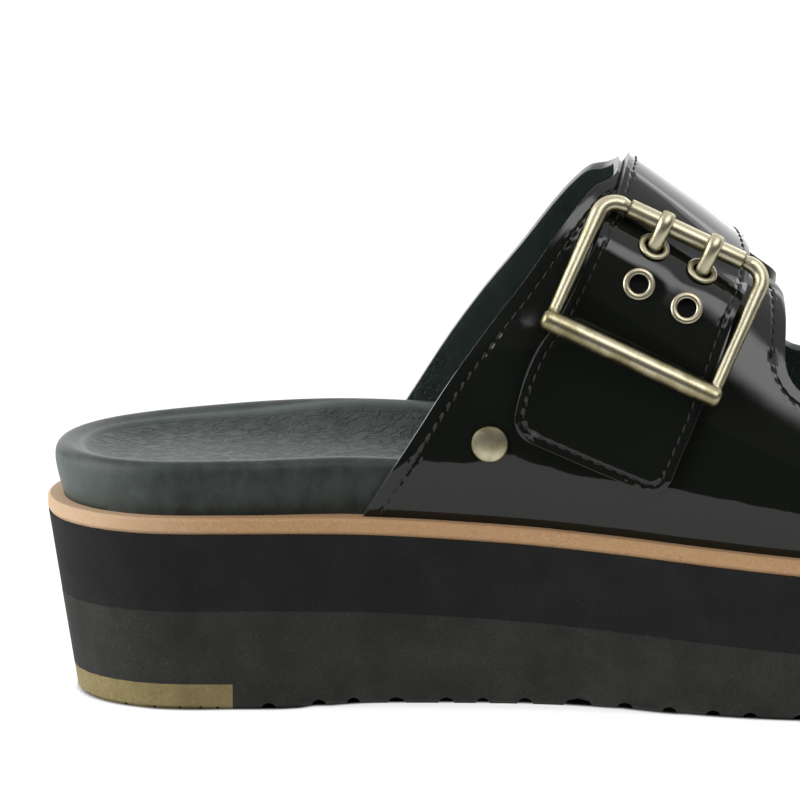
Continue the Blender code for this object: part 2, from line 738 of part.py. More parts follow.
def build_buckle(name, curves, buckle):
    low, across, along, outward, height = buckle_frame(curves, buckle)
    path = frame_path(buckle["half_width"], height)
    points = []
    for k, (step_across, step_along, wire) in enumerate(path):
        before = np.array(path[k - 1][:2])
        after = np.array(path[(k + 1) % len(path)][:2])
        heading = (after - before) / np.linalg.norm(after - before)
        aside = across * heading[1] - along * heading[0]
        centre = low + across * step_across + along * step_along
        points += circle(centre, aside, outward, wire, RING_SIDES)
    faces = tube_faces(0, len(path), RING_SIDES, closed=True)
    frame = add_object("buckle_" + name, points, faces, "antique_brass")
    centre_along = height * CENTRE_SHARE
    points = []
    for end in (-1.0, 1.0):
        centre = low + across * buckle["half_width"] * end + along * centre_along
        centre = centre - outward * buckle["centre_drop"]
        points += circle(centre, along, outward, CENTRE_RADIUS, RING_SIDES)
    bar = add_cutter("centre_bar_" + name, points, tube_faces(0, 2, RING_SIDES, capped=True))
    apply_cut(frame, bar, "UNION")
    build_roller(name, low + along * height, across, along, outward, buckle["roller_half"])
    for k, share in enumerate(EYELET_SHARES):
        hole = strap_frame(curves, buckle["upper_eyelets"], share)
        top = low + along * height + across * np.dot(hole[0] - low, across)
        root = low + along * (centre_along + CENTRE_RADIUS + PRONG_THICK + GAP)
        root = root + across * np.dot(hole[0] - low, across) - outward * buckle["centre_drop"]
        build_prong("prong_" + name + "_" + str(k + 1), root, hole, top, along, outward)


def build_roller(name, middle, across, along, outward, half_length):
    section = ((ROLLER_BORE, -1.0), (ROLLER_RADIUS, -1.0), (ROLLER_RADIUS, 1.0), (ROLLER_BORE, 1.0))
    points = []
    for radius, end in section:
        centre = middle + across * half_length * end
        points += circle(centre, along, outward, radius, ROLLER_SIDES)
    faces = tube_faces(0, len(section), ROLLER_SIDES, closed=True)
    add_object("roller_" + name, points, faces, "antique_brass")


def prong_path(root, hole, top, along, outward):
    """Key points of a prong, from the centre bar through the eyelet to the roller."""
    origin, _, _, lift = hole
    over = ROLLER_RADIUS + PRONG_THICK + GAP
    below = origin - lift * (STRAP_THICK + PRONG_DIP)
    return [root, below - along * PRONG_SET_BACK, origin + lift * PRONG_CLEAR,
            top + outward * over - along * PRONG_BEFORE, top + outward * over + along * PRONG_PAST,
            top + outward * (over - PRONG_TIP_DROP) + along * PRONG_TIP]


def smooth_path(keys, count):
    keys = np.array(keys)
    run = np.concatenate(([0.0], np.cumsum(np.linalg.norm(np.diff(keys, axis=0), axis=1))))
    curves = [make_curve(run, keys[:, k]) for k in range(3)]
    return np.array([[curve(mark) for curve in curves] for mark in np.linspace(0.0, run[-1], count)])


def build_prong(name, root, hole, top, along, outward):
    path = smooth_path(prong_path(root, hole, top, along, outward), PRONG_STEPS)
    side = np.cross(along, outward)
    points = []
    for k, centre in enumerate(path):
        heading = path[min(k + 1, len(path) - 1)] - path[max(k - 1, 0)]
        lift = np.cross(side, heading)
        lift = lift / np.linalg.norm(lift)
        points += circle(centre, side, lift, PRONG_WIDTH, RING_SIDES, PRONG_THICK / PRONG_WIDTH)
    add_object(name, points, tube_faces(0, len(path), RING_SIDES, capped=True), "antique_brass")


def build_stud():
    outward = arch_normal(STUD_STATION, STUD_TURN)
    first = np.cross(outward, (0.0, 0.0, 1.0))
    first = first / np.linalg.norm(first)
    second = np.cross(outward, first)
    section = ((STUD_RADIUS, 0.0), (STUD_RADIUS, STUD_THICK - STUD_BEVEL),
               (STUD_RADIUS - STUD_BEVEL, STUD_THICK))
    points = []
    for radius, height in section:
        centre = off_arch(STUD_STATION, STUD_TURN, GAP + height)
        points += circle(centre, first, second, radius, STUD_SIDES)
    faces = tube_faces(0, len(section), STUD_SIDES, capped=True)
    add_object("side_stud", points, faces, "antique_brass")


for old in list(bpy.data.objects):
    bpy.data.objects.remove(old, do_unlink=True)

build_outsole()
build_heel_tip()
build_midsole()
build_welt()
build_footbed()
build_upper()
rear_curves = build_strap("strap_rear", REAR_STRAP, REAR_BUCKLE)
front_curves = build_strap("strap_front", FRONT_STRAP, FRONT_BUCKLE)
build_buckle("rear", rear_curves, REAR_BUCKLE)
build_buckle("front", front_curves, FRONT_BUCKLE)
build_stud()
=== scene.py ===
# %% [markdown]
# # A platform slide sandal, dressed over its CAD frame
# The frame holds the sandal's plain solids. This lesson lays finished pieces over them: a layered
# foam sole, a leather footbed, a lacquered leather upper with two buckled straps, and brass
# fittings. All sizes in the tables are millimetres, and the scene is in metres, so one factor
# turns one to the other.

# %% Load the frame
import json
import math

import bpy
import numpy as np
from mathutils import Matrix, Vector
from mathutils.bvhtree import BVHTree
from mathutils.kdtree import KDTree

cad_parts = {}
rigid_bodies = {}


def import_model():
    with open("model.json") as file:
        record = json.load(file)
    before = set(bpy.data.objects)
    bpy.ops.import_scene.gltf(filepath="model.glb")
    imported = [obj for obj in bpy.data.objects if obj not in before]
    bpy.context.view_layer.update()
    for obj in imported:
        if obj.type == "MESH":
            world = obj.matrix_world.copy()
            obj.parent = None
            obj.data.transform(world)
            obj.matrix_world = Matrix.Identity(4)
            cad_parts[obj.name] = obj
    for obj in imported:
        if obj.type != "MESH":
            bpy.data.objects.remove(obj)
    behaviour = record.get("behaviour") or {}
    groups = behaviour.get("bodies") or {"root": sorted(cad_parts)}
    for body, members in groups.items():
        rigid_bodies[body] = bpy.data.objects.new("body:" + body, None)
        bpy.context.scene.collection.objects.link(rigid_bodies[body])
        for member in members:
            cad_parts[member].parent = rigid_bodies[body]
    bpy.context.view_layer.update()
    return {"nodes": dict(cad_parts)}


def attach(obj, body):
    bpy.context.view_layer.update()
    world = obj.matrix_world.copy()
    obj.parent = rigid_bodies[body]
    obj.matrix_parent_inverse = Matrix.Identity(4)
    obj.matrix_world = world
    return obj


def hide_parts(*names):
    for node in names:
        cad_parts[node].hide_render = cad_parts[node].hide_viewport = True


for old in list(bpy.data.objects):
    bpy.data.objects.remove(old, do_unlink=True)
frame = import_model()
MM = 0.001
# The sole's length, and how far each layer moves to close its glue joint
LENGTH = 262.0
SEAM_GAP = 0.28

# %% [markdown]
# ## Working as by hand
# Blender's operators act on whatever is selected, so each step first selects one piece and
# nothing else. Modifiers are applied as soon as they have done their work, which leaves plain
# meshes behind.

# %% Selecting, copying and applying
def select_only(piece):
    """Leave edit mode, then select one piece and make it the active one."""
    if bpy.context.object and bpy.context.object.mode != "OBJECT":
        bpy.ops.object.mode_set(mode="OBJECT")
    bpy.ops.object.select_all(action="DESELECT")
    piece.select_set(True)
    bpy.context.view_layer.objects.active = piece


def start_edit(piece, select="SELECT"):
    select_only(piece)
    bpy.ops.object.mode_set(mode="EDIT")
    bpy.ops.mesh.select_mode(type="FACE")
    bpy.ops.mesh.select_all(action=select)


def end_edit():
    bpy.ops.object.mode_set(mode="OBJECT")


def pick_faces(piece, wanted):
    """Select the faces for which wanted(centre, normal) is true, and open them for editing."""
    select_only(piece)
    mesh = piece.data
    for part in (mesh.vertices, mesh.edges, mesh.polygons):
        part.foreach_set("select", np.zeros(len(part), bool))
    for face in mesh.polygons:
        face.select = wanted(face.center, face.normal)
    bpy.ops.object.mode_set(mode="EDIT")
    bpy.ops.mesh.select_mode(type="FACE")


def apply_modifiers(piece):
    select_only(piece)
    for modifier in list(piece.modifiers):
        bpy.ops.object.modifier_apply(modifier=modifier.name)


def copy_of(node, name):
    """Copy a CAD node, weld its loose triangles and pair them to quads."""
    select_only(frame["nodes"][node])
    bpy.ops.object.duplicate()
    piece = bpy.context.active_object
    bpy.ops.object.parent_clear(type="CLEAR_KEEP_TRANSFORM")
    piece.name = name
    for key in list(piece.keys()):
        del piece[key]
    bpy.ops.mesh.customdata_custom_splitnormals_clear()
    start_edit(piece)
    bpy.ops.mesh.remove_doubles(threshold=1e-6)
    bpy.ops.mesh.tris_convert_to_quads(face_threshold=math.radians(50),
                                       shape_threshold=math.radians(60))
    end_edit()
    piece.data.materials.clear()
    return piece


def settle(piece, slot, *nodes):
    """Tie a finished piece to the sandal's body and hide the nodes it stands for. Its slot is not
    used.
    """
    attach(piece, "root")
    if nodes:
        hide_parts(*nodes)
    print(piece.name, len(piece.data.polygons), "faces")


# %% [markdown]
# ## The last
# A shoemaker pulls leather over a last, a form with the shape of the foot. Here the last is a
# formula: at each station along the shoe, measured from the back of the heel, an arch spans from
# the outer base (turn 0) over the crest (turn 0.5) to the inner base (turn 1). Every leather
# piece is a flat grid that is then pulled over this form, so its edges, seams and holes can all
# be placed by station and turn.

# %% Sizes of the last
HEEL_ROUND = 36.0
TOE_ROUND = 64.0
ROUND_POWER = 2.15
TOE_DRIFT = 8.0
ARCH_POWER = 2.2
SIDE_INSET = 0.5
BASE_TUCK = 2.5
TUCK_HEIGHT = 18.0
BASE_LIFT = 0.3 - SEAM_GAP
LAST_COLUMNS = ("station", "lateral", "medial", "welt_top", "crest")
LAST = (
    (0.0, 33.5, 33.5, 48.0, 224.0), (25.0, 34.0, 33.5, 48.1, 208.0),
    (50.0, 33.9, 33.0, 48.2, 191.0), (75.0, 32.6, 30.6, 47.8, 174.0),
    (110.0, 33.6, 31.0, 46.0, 149.0), (135.0, 36.6, 36.0, 44.0, 131.0),
    (155.0, 40.0, 40.5, 42.1, 116.9), (175.0, 43.3, 44.2, 40.4, 102.0),
    (195.0, 45.5, 45.5, 39.0, 91.0), (220.0, 43.5, 45.0, 38.0, 79.5),
    (242.0, 38.0, 42.5, 38.4, 71.0), (262.0, 31.0, 38.0, 39.5, 64.0),
)


def smooth_curve(xs, ys):
    """A smooth function through the points that never swings past them."""
    xs = np.asarray(xs, float)
    ys = np.asarray(ys, float)
    steps = np.diff(xs)
    rises = np.diff(ys) / steps
    slopes = np.concatenate(([rises[0]], np.zeros(len(xs) - 2), [rises[-1]]))
    product = rises[:-1] * rises[1:]
    same_way = product > 0.0
    slopes[1:-1][same_way] = 2.0 * product[same_way] / (rises[:-1] + rises[1:])[same_way]

    def curve(x):
        i = np.clip(np.searchsorted(xs, x) - 1, 0, len(steps) - 1)
        u = np.clip((x - xs[i]) / steps[i], 0.0, 1.0)
        ends = (1.0 + 2.0 * u) * (1.0 - u) ** 2 * ys[i] + u * u * (3.0 - 2.0 * u) * ys[i + 1]
        bend = u * (1.0 - u) ** 2 * slopes[i] + u * u * (u - 1.0) * slopes[i + 1]
        return ends + bend * steps[i]

    return curve


def table_curves(names, rows):
    columns = list(zip(*rows))
    return {name: smooth_curve(columns[0], column)
            for name, column in zip(names[1:], columns[1:])}


LAST_AT = table_curves(LAST_COLUMNS, LAST)
print("last table:", len(LAST), "stations")


# %% The arch formula
STATION_STEP = 0.5
TURN_STEP = 0.002


def sole_edge(side, sign, station):
    """Signed distance from the middle line to the sole's edge on one side."""
    reach = np.where(station < HEEL_ROUND, 1.0 - station / HEEL_ROUND,
                     (station - LENGTH + TOE_ROUND) / TOE_ROUND)
    share = (1.0 - np.clip(reach, 0.0, 1.0) ** ROUND_POWER) ** (1.0 / ROUND_POWER)
    drift = np.where(station > LENGTH / 2.0, TOE_DRIFT * (1.0 - share), 0.0)
    return sign * LAST_AT[side](station) * share + drift


def last(station, turn):
    """Point on the last, in millimetres, with station along X."""
    station, turn = np.broadcast_arrays(np.asarray(station, float), np.asarray(turn, float))
    angle = math.pi * turn
    base = LAST_AT["welt_top"](station) + BASE_LIFT
    rise = (LAST_AT["crest"](station) - base) * np.abs(np.sin(angle)) ** (2.0 / ARCH_POWER)
    outer = turn < 0.5
    edge = np.abs(np.where(outer, sole_edge("lateral", -1.0, station),
                           sole_edge("medial", 1.0, station)))
    tuck = BASE_TUCK * np.clip(1.0 - rise / TUCK_HEIGHT, 0.0, 1.0) ** 2
    across = (edge - SIDE_INSET - tuck) * np.abs(np.cos(angle)) ** (2.0 / ARCH_POWER)
    return np.stack([station, np.where(outer, -across, across), base + rise], axis=-1)


def last_normal(station, turn):
    """Outward direction of the last, from small steps along and around it."""
    along = last(station + STATION_STEP, turn) - last(station - STATION_STEP, turn)
    around = (last(station, np.minimum(turn + TURN_STEP, 1.0))
              - last(station, np.maximum(turn - TURN_STEP, 0.0)))
    outward = np.cross(along, around)
    return outward / np.linalg.norm(outward, axis=-1, keepdims=True)


def to_metres(points):
    """Stations and millimetres to the frame's metres."""
    return (np.asarray(points) - np.array([LENGTH / 2.0, 0.0, 0.0])) * MM


print("instep at station 150 stands", round(float(last(150.0, 0.5)[2]), 1), "mm high")

# %% [markdown]
# ## Colours and nodes
# Colours are written as sRGB hex values and turned to the linear values that shaders use. One
# small function adds a node, sets its properties and fills or links its sockets. The kinds of
# node that come up often have short names.

# %% Colour and node helpers
PER_MM = 1000.0
MATH = "ShaderNodeMath"
NOISE = "ShaderNodeTexNoise"
CELLS = "ShaderNodeTexVoronoi"
RANGE = "ShaderNodeMapRange"
MIX = "ShaderNodeMix"
ATTRIBUTE = "ShaderNodeAttribute"
STRETCH = "ShaderNodeVectorMath"
SPLIT = "ShaderNodeSeparateXYZ"
BUMP = "ShaderNodeBump"


def colour(hex_value):
    """Linear colour of an sRGB hex value such as #a08060."""
    parts = [int(hex_value[i:i + 2], 16) / 255.0 for i in (1, 3, 5)]
    linear = [v / 12.92 if v <= 0.04045 else ((v + 0.055) / 1.055) ** 2.4 for v in parts]
    return (*linear, 1.0)


def fill_sockets(tree, node, sockets):
    """Set each socket, or link it to an output or to another node's first output."""
    for name, value in sockets.items():
        if isinstance(value, bpy.types.Node):
            value = value.outputs[0]
        if isinstance(value, bpy.types.NodeSocket):
            tree.links.new(value, node.inputs[name])
        else:
            node.inputs[name].default_value = value


def add_node(tree, kind, sockets, **settings):
    """Add a node, set its properties and fill or link its sockets."""
    node = tree.nodes.new(kind)
    for name, value in settings.items():
        setattr(node, name, value)
    fill_sockets(tree, node, sockets)
    return node


def new_finish(name):
    """A material with its Principled shader and the object coordinates."""
    finish = bpy.data.materials.new(name)
    finish.use_nodes = True
    tree = finish.node_tree
    place = add_node(tree, "ShaderNodeTexCoord", {}).outputs["Object"]
    return finish, tree, tree.nodes["Principled BSDF"], place


print("white is", colour("#ffffff")[0])

# %% [markdown]
# ## Sole foams and heel rubber
# Both thick layers are closed-cell EVA foam that was cut and sanded. Sanding leaves a fine dusty
# speckle of opened cells with soft blotches, and hardly any gloss. The real cells are about 0.2
# mm, too fine to show at this size, so the speckle is drawn at 0.7 mm, with a few pale grains of
# dust held in the surface. The heel tip is moulded crepe-coloured rubber, a little smoother.
# Every relief is a height in millimetres, so the bump's distance is one millimetre.

# %% Foam and rubber finishes
BLOTCH_MM = 9.0
DUST_MM = 1.7


def sanded_finish(name, dark, pale, dust, grain_mm, roughness, depth_mm):
    """Sanded foam or rubber: speckle over soft blotches, with pale dust, matte."""
    finish, tree, shader, place = new_finish(name)
    grain = add_node(tree, NOISE, {"Vector": place, "Scale": PER_MM / grain_mm, "Detail": 3.0,
                                   "Roughness": 0.6})
    blotch = add_node(tree, NOISE, {"Vector": place, "Scale": PER_MM / BLOTCH_MM, "Detail": 2.0})
    both = add_node(tree, MATH, {0: grain, 1: blotch}, operation="MULTIPLY")
    share = add_node(tree, RANGE, {"Value": both, "From Min": 0.12, "From Max": 0.40})
    foam = add_node(tree, MIX, {0: share, 6: colour(dark), 7: colour(pale)}, data_type="RGBA")
    speck = add_node(tree, CELLS, {"Vector": place, "Scale": PER_MM / DUST_MM})
    dusty = add_node(tree, RANGE, {"Value": speck, "From Min": 0.03, "From Max": 0.11,
                                   "To Min": 0.35, "To Max": 0.0})
    tone = add_node(tree, MIX, {0: dusty, 6: foam.outputs[2], 7: colour(dust)}, data_type="RGBA")
    lift = add_node(tree, MATH, {0: grain, 1: depth_mm}, operation="MULTIPLY")
    bump = add_node(tree, BUMP, {"Distance": MM, "Height": lift})
    fill_sockets(tree, shader, {"Base Color": tone.outputs[2], "Roughness": roughness,
                                "Specular IOR Level": 0.2, "Normal": bump})
    return finish


OUTSOLE_FOAM = sanded_finish("sanded_eva_foam_grey", "#1e1e1c", "#2b2b28", "#66665f",
                             0.7, 0.85, 0.10)
MIDSOLE_FOAM = sanded_finish("sanded_eva_foam_black", "#0f100f", "#181918", "#50514c",
                             0.7, 0.85, 0.10)
HEEL_RUBBER = sanded_finish("moulded_crepe_rubber", "#665b3a", "#7a6e4a", "#988b66",
                            0.9, 0.60, 0.06)
print("foams and rubber ready")

# %% [markdown]
# ## Welt board
# The thin tan rand is vegetable-tanned leather board, cut through and left raw. The cut shows
# fine fibres as a suede-like speckle about 0.5 mm across, and the tone changes slowly along the
# shoe. Round the heel, where the side lamp falls, it is painted paler: a painted highlight.

# %% Welt finish
FIBRE_MM = 0.55
SLOW_MM = 14.0
# Along the shoe, in metres: where the heel's painted highlight starts and where it ends
HEEL_BACK = -0.131
HEEL_HIGHLIGHT_UNTIL = -0.085


def welt_finish():
    """Raw cut leather board: warm tan, fibrous speckle, no gloss, painted highlight at the heel."""
    finish, tree, shader, place = new_finish("raw_leather_board")
    fibre = add_node(tree, NOISE, {"Vector": place, "Scale": PER_MM / FIBRE_MM, "Detail": 4.0,
                                   "Roughness": 0.7})
    slow = add_node(tree, NOISE, {"Vector": place, "Scale": PER_MM / SLOW_MM, "Detail": 2.0})
    share = add_node(tree, RANGE, {"Value": fibre, "From Min": 0.32, "From Max": 0.68})
    fine = add_node(tree, MIX, {0: share, 6: colour("#886440"), 7: colour("#af8f6c")},
                    data_type="RGBA")
    cloudy = add_node(tree, MIX, {0: slow, 6: fine.outputs[2], 7: colour("#9f7c57")},
                      data_type="RGBA")
    # Round the heel the tone is mixed paler: a painted highlight
    along = add_node(tree, SPLIT, {"Vector": place}).outputs["X"]
    heel = add_node(tree, RANGE, {"Value": along, "From Min": HEEL_BACK, "From Max": HEEL_HIGHLIGHT_UNTIL,
                                  "To Min": 0.5, "To Max": 0.0})
    tone = add_node(tree, MIX, {0: heel, 6: cloudy.outputs[2], 7: colour("#b3a08a")},
                    data_type="RGBA")
    lift = add_node(tree, MATH, {0: fibre, 1: 0.12}, operation="MULTIPLY")
    bump = add_node(tree, BUMP, {"Distance": MM, "Height": lift})
    fill_sockets(tree, shader, {"Base Color": tone.outputs[2], "Roughness": 0.9, "Normal": bump})
    return finish


WELT_BOARD = welt_finish()
print("welt finish ready")

# %% [markdown]
# ## Footbed and lining leather
# The footbed cover and the lining are soft full-grain leather in a grey-green black, cloudy with
# stains. Where the leather was stretched over the wall it is smooth, with a few pores, painted
# darker as painted shade. On the sock it lies loose in fine wrinkles a few millimetres apart,
# longer along the foot than across, and their valleys are painted darker as painted shade. One
# attribute says where the leather is loose. Another says where the colour is paler: a thin line
# along the pressed groove's lip, and on the wall at the heel a painted light for the side lamp.

# %% Wrinkled leather finish
PORE_MM = 3.8
HIDE_GRAIN_MM = 0.8
STAIN_MM = 4.0


def wrinkled_finish(name, dark, pale, fold_mm, fold_depth, zone):
    """Full-grain leather: wrinkles where the zone is 1, stains, painted shade in pores and valleys,
    pale places.
    """
    finish, tree, shader, place = new_finish(name)
    loose = add_node(tree, ATTRIBUTE, {}, attribute_name=zone).outputs["Fac"]
    # Paler places: a thin line along the groove's lip, and painted light on the wall at the heel
    pale_line_and_painted_light = add_node(tree, ATTRIBUTE, {}, attribute_name="pale_line_and_painted_light").outputs["Fac"]
    along = add_node(tree, STRETCH, {0: place, 1: (0.7, 1.0, 1.0)}, operation="MULTIPLY")
    fold = add_node(tree, NOISE, {"Vector": along, "Scale": PER_MM / fold_mm, "Detail": 3.0,
                                  "Roughness": 0.55, "Distortion": 0.35})
    off = add_node(tree, MATH, {0: fold, 1: 0.5}, operation="SUBTRACT")
    away = add_node(tree, MATH, {0: off}, operation="ABSOLUTE")
    crest = add_node(tree, RANGE, {"Value": away, "From Max": 0.085},
                     interpolation_type="SMOOTHSTEP")
    wrinkle = add_node(tree, MATH, {0: crest, 1: loose}, operation="MULTIPLY")
    # Pores are painted darker in colour: painted shade
    pores = add_node(tree, CELLS, {"Vector": place, "Scale": PER_MM / PORE_MM})
    flat = add_node(tree, RANGE, {"Value": pores, "From Min": 0.03, "From Max": 0.08})
    grain = add_node(tree, NOISE, {"Vector": place, "Scale": PER_MM / HIDE_GRAIN_MM,
                                   "Detail": 3.0, "Roughness": 0.6})
    upright = add_node(tree, STRETCH, {0: place, 1: (1.0, 1.0, 0.55)}, operation="MULTIPLY")
    cloud = add_node(tree, NOISE, {"Vector": upright, "Scale": PER_MM / STAIN_MM, "Detail": 5.0,
                                   "Roughness": 0.65})
    stain = add_node(tree, RANGE, {"Value": cloud, "From Min": 0.22, "From Max": 0.74})
    share = add_node(tree, MATH, {0: stain, 1: flat}, operation="MULTIPLY")
    # Wrinkle valleys are painted darker in colour: painted shade
    valley = add_node(tree, MATH, {0: loose, 1: wrinkle}, operation="SUBTRACT")
    stains_and_painted_shade = add_node(tree, MATH, {0: valley, 1: -0.35, 2: share},
                     operation="MULTIPLY_ADD", use_clamp=True)
    hide = add_node(tree, MIX, {0: stains_and_painted_shade, 6: colour(dark), 7: colour(pale)}, data_type="RGBA")
    tone = add_node(tree, MIX, {0: pale_line_and_painted_light, 6: hide.outputs[2], 7: colour("#66706c")},
                    data_type="RGBA")
    low = add_node(tree, MATH, {0: flat, 1: 0.12}, operation="MULTIPLY")
    fine = add_node(tree, MATH, {0: grain, 1: 0.10, 2: low}, operation="MULTIPLY_ADD")
    height = add_node(tree, MATH, {0: wrinkle, 1: fold_depth, 2: fine}, operation="MULTIPLY_ADD")
    bump = add_node(tree, BUMP, {"Distance": MM, "Height": height})
    fill_sockets(tree, shader, {"Base Color": tone.outputs[2], "Roughness": 0.5,
                                "Specular IOR Level": 0.3, "Normal": bump})
    return finish


FOOTBED_LEATHER = wrinkled_finish("full_grain_footbed_leather", "#131917", "#323a37",
                                  2.6, 0.22, "sock")
LINING_LEATHER = wrinkled_finish("full_grain_lining_leather", "#1b2422", "#2a3431",
                                 2.4, 0.16, "loose")
print("leathers ready")

# %% [markdown]
# ## Lacquered leather
# The upper and straps are patent leather: smooth black hide under a thick clear lacquer, so they
# mirror the room. Along each row of stitches the thread pulls a shallow valley, and the leather
# puckers between the holes. Each leather mesh carries two attributes, the signed distance from
# its stitch row and the distance along it. The bump is drawn from those two, so it follows every
# seam.

# %% Lacquered leather finish
STITCH_PITCH = 3.0
PEEL_MM = 16.0


def lacquered_finish():
    """Patent leather: black, mirror-like, softly wavy, puckered along the seams."""
    finish, tree, shader, place = new_finish("lacquered_patent_leather")
    seam = add_node(tree, ATTRIBUTE, {}, attribute_name="seam_mm").outputs["Fac"]
    along = add_node(tree, ATTRIBUTE, {}, attribute_name="along_mm").outputs["Fac"]
    away = add_node(tree, MATH, {0: seam}, operation="ABSOLUTE")
    valley = add_node(tree, RANGE, {"Value": away, "From Max": 0.9, "To Min": -0.12, "To Max": 0.0},
                      interpolation_type="SMOOTHSTEP")
    near = add_node(tree, RANGE, {"Value": away, "From Max": 1.5, "To Min": 0.035, "To Max": 0.0},
                    interpolation_type="SMOOTHSTEP")
    phase = add_node(tree, MATH, {0: along, 1: 2.0 * math.pi / STITCH_PITCH}, operation="MULTIPLY")
    wave = add_node(tree, MATH, {0: phase}, operation="COSINE")
    pucker = add_node(tree, MATH, {0: wave, 1: near, 2: valley}, operation="MULTIPLY_ADD")
    peel = add_node(tree, NOISE, {"Vector": place, "Scale": PER_MM / PEEL_MM, "Detail": 1.5})
    height = add_node(tree, MATH, {0: peel, 1: 0.22, 2: pucker}, operation="MULTIPLY_ADD")
    bump = add_node(tree, BUMP, {"Distance": MM, "Height": height})
    fill_sockets(tree, shader, {"Base Color": colour("#121411"), "Roughness": 0.04, "IOR": 1.42,
                                "Normal": bump})
    return finish


PATENT_LEATHER = lacquered_finish()
print("lacquered leather ready")

# %% [markdown]
# The cut edges are burnished with black edge paint, which is satin and a little uneven. The
# thread is bonded polyester, nearly black and dull. Leather seen down a hole lies in deep shade.

# %% Edge paint, thread and shade
def plain_dark_finish(name, tone, pale, grain_mm, roughness):
    """A dark surface with a fine uneven grain."""
    finish, tree, shader, place = new_finish(name)
    grain = add_node(tree, NOISE, {"Vector": place, "Scale": PER_MM / grain_mm, "Detail": 3.0})
    mixed = add_node(tree, MIX, {0: grain, 6: colour(tone), 7: colour(pale)}, data_type="RGBA")
    lift = add_node(tree, MATH, {0: grain, 1: 0.08}, operation="MULTIPLY")
    bump = add_node(tree, BUMP, {"Distance": MM, "Height": lift})
    fill_sockets(tree, shader, {"Base Color": mixed.outputs[2], "Roughness": roughness,
                                "Normal": bump})
    return finish


EDGE_PAINT = plain_dark_finish("burnished_edge_paint", "#1b1d1c", "#343836", 0.9, 0.34)
THREAD = plain_dark_finish("bonded_polyester_thread", "#0a0a09", "#141412", 0.5, 0.8)
HOLE_SHADE = plain_dark_finish("leather_shaded_in_a_hole", "#050505", "#0a0a0a", 0.9, 0.9)
print("edge paint, thread and shade ready")

# %% [markdown]
# ## Antique brass
# The fittings are brass-plated castings that were darkened, then brushed back where the brush
# could reach. So the faces that look outward are pale and the sides stay dark, which is partly
# that finish and partly painted light for the lamps in front and above. The wires, rollers,
# prongs and eyelets are paler still, and one attribute holds all this paleness. Brushing also
# leaves faint rings round each bar, drawn from the distance along the bar. Real brush lines are
# about 0.1 mm and are drawn at 0.3 mm to show.

# %% Brass finish
STROKES_PER_MM = 3.2
PATCH_MM = 5.0


def brass_finish():
    """Brushed antique brass: pale gold ridges, dark olive sides, partly painted light, satin."""
    finish, tree, shader, place = new_finish("brushed_antique_brass")
    along = add_node(tree, ATTRIBUTE, {}, attribute_name="brush_mm").outputs["Fac"]
    # Pale where a face looks outward, dark at the sides: partly the finish, partly painted light
    polish_and_painted_light = add_node(tree, ATTRIBUTE, {}, attribute_name="polish_and_painted_light").outputs["Fac"]
    stroke = add_node(tree, NOISE, {"W": along, "Scale": STROKES_PER_MM, "Detail": 3.0,
                                    "Roughness": 0.7}, noise_dimensions="1D")
    patch = add_node(tree, NOISE, {"Vector": place, "Scale": PER_MM / PATCH_MM, "Detail": 4.0})
    spot = add_node(tree, MATH, {0: patch, 1: 2.6, 2: -0.3}, operation="MULTIPLY_ADD")
    uneven = add_node(tree, MATH, {0: stroke, 1: spot}, operation="ADD")
    rubbed = add_node(tree, MATH, {0: uneven, 1: 0.6, 2: polish_and_painted_light}, operation="MULTIPLY_ADD")
    share = add_node(tree, RANGE, {"Value": rubbed, "From Min": 0.75, "From Max": 1.95})
    gold = add_node(tree, MIX, {0: share, 6: colour("#332c15"), 7: colour("#aaa27e")},
                    data_type="RGBA")
    # The palest places go towards near white, partly a painted highlight
    ridge = add_node(tree, RANGE, {"Value": share, "From Min": 0.82, "From Max": 1.0,
                                   "To Max": 0.4})
    tone = add_node(tree, MIX, {0: ridge, 6: gold.outputs[2], 7: colour("#d6d1c0")},
                    data_type="RGBA")
    dull = add_node(tree, RANGE, {"Value": share, "To Min": 0.48, "To Max": 0.36})
    lift = add_node(tree, MATH, {0: stroke, 1: 0.02}, operation="MULTIPLY")
    bump = add_node(tree, BUMP, {"Distance": MM, "Height": lift})
    fill_sockets(tree, shader, {"Base Color": tone.outputs[2], "Roughness": dull, "Metallic": 1.0,
                                "Normal": bump})
    return finish


BRASS = brass_finish()
print("brass ready")

# %% [markdown]
# ## Sole layers
# The sole is a sandwich: grey outsole with its tread, black midsole and tan welt, glued face to
# face. The CAD solids already have these shapes but stand 0.3 mm apart, so each copy has its
# under or top face moved to close the joint. Subdivision with creased rims rounds the outline
# without softening the cut edges.

# %% Midsole and welt
# A face looks along an axis when more than this share of its normal does
SQUARELY = 0.9


def close_joint(piece, direction):
    """Move the faces that look up (+1) or down (-1) across the glue gap."""
    pick_faces(piece, lambda centre, normal: normal.z * direction > SQUARELY)
    bpy.ops.transform.translate(value=(0.0, 0.0, direction * SEAM_GAP * MM))
    end_edit()


def crease_rims(piece, keep_angle):
    """Hold each edge that is sharper than the angle."""
    start_edit(piece, "DESELECT")
    bpy.ops.mesh.select_mode(type="EDGE")
    bpy.ops.mesh.edges_select_sharp(sharpness=math.radians(keep_angle))
    bpy.ops.transform.edge_crease(value=1.0)
    end_edit()


def subdivide(piece, levels):
    """Round a piece by subdivision, which leaves creased rims sharp."""
    smooth = piece.modifiers.new("round", "SUBSURF")
    smooth.levels = levels
    smooth.render_levels = levels
    apply_modifiers(piece)


def shade_rounded(keep_angle):
    """Shade the selected piece smooth, apart from edges sharper than the angle."""
    bpy.ops.object.shade_smooth_by_angle(angle=math.radians(keep_angle))


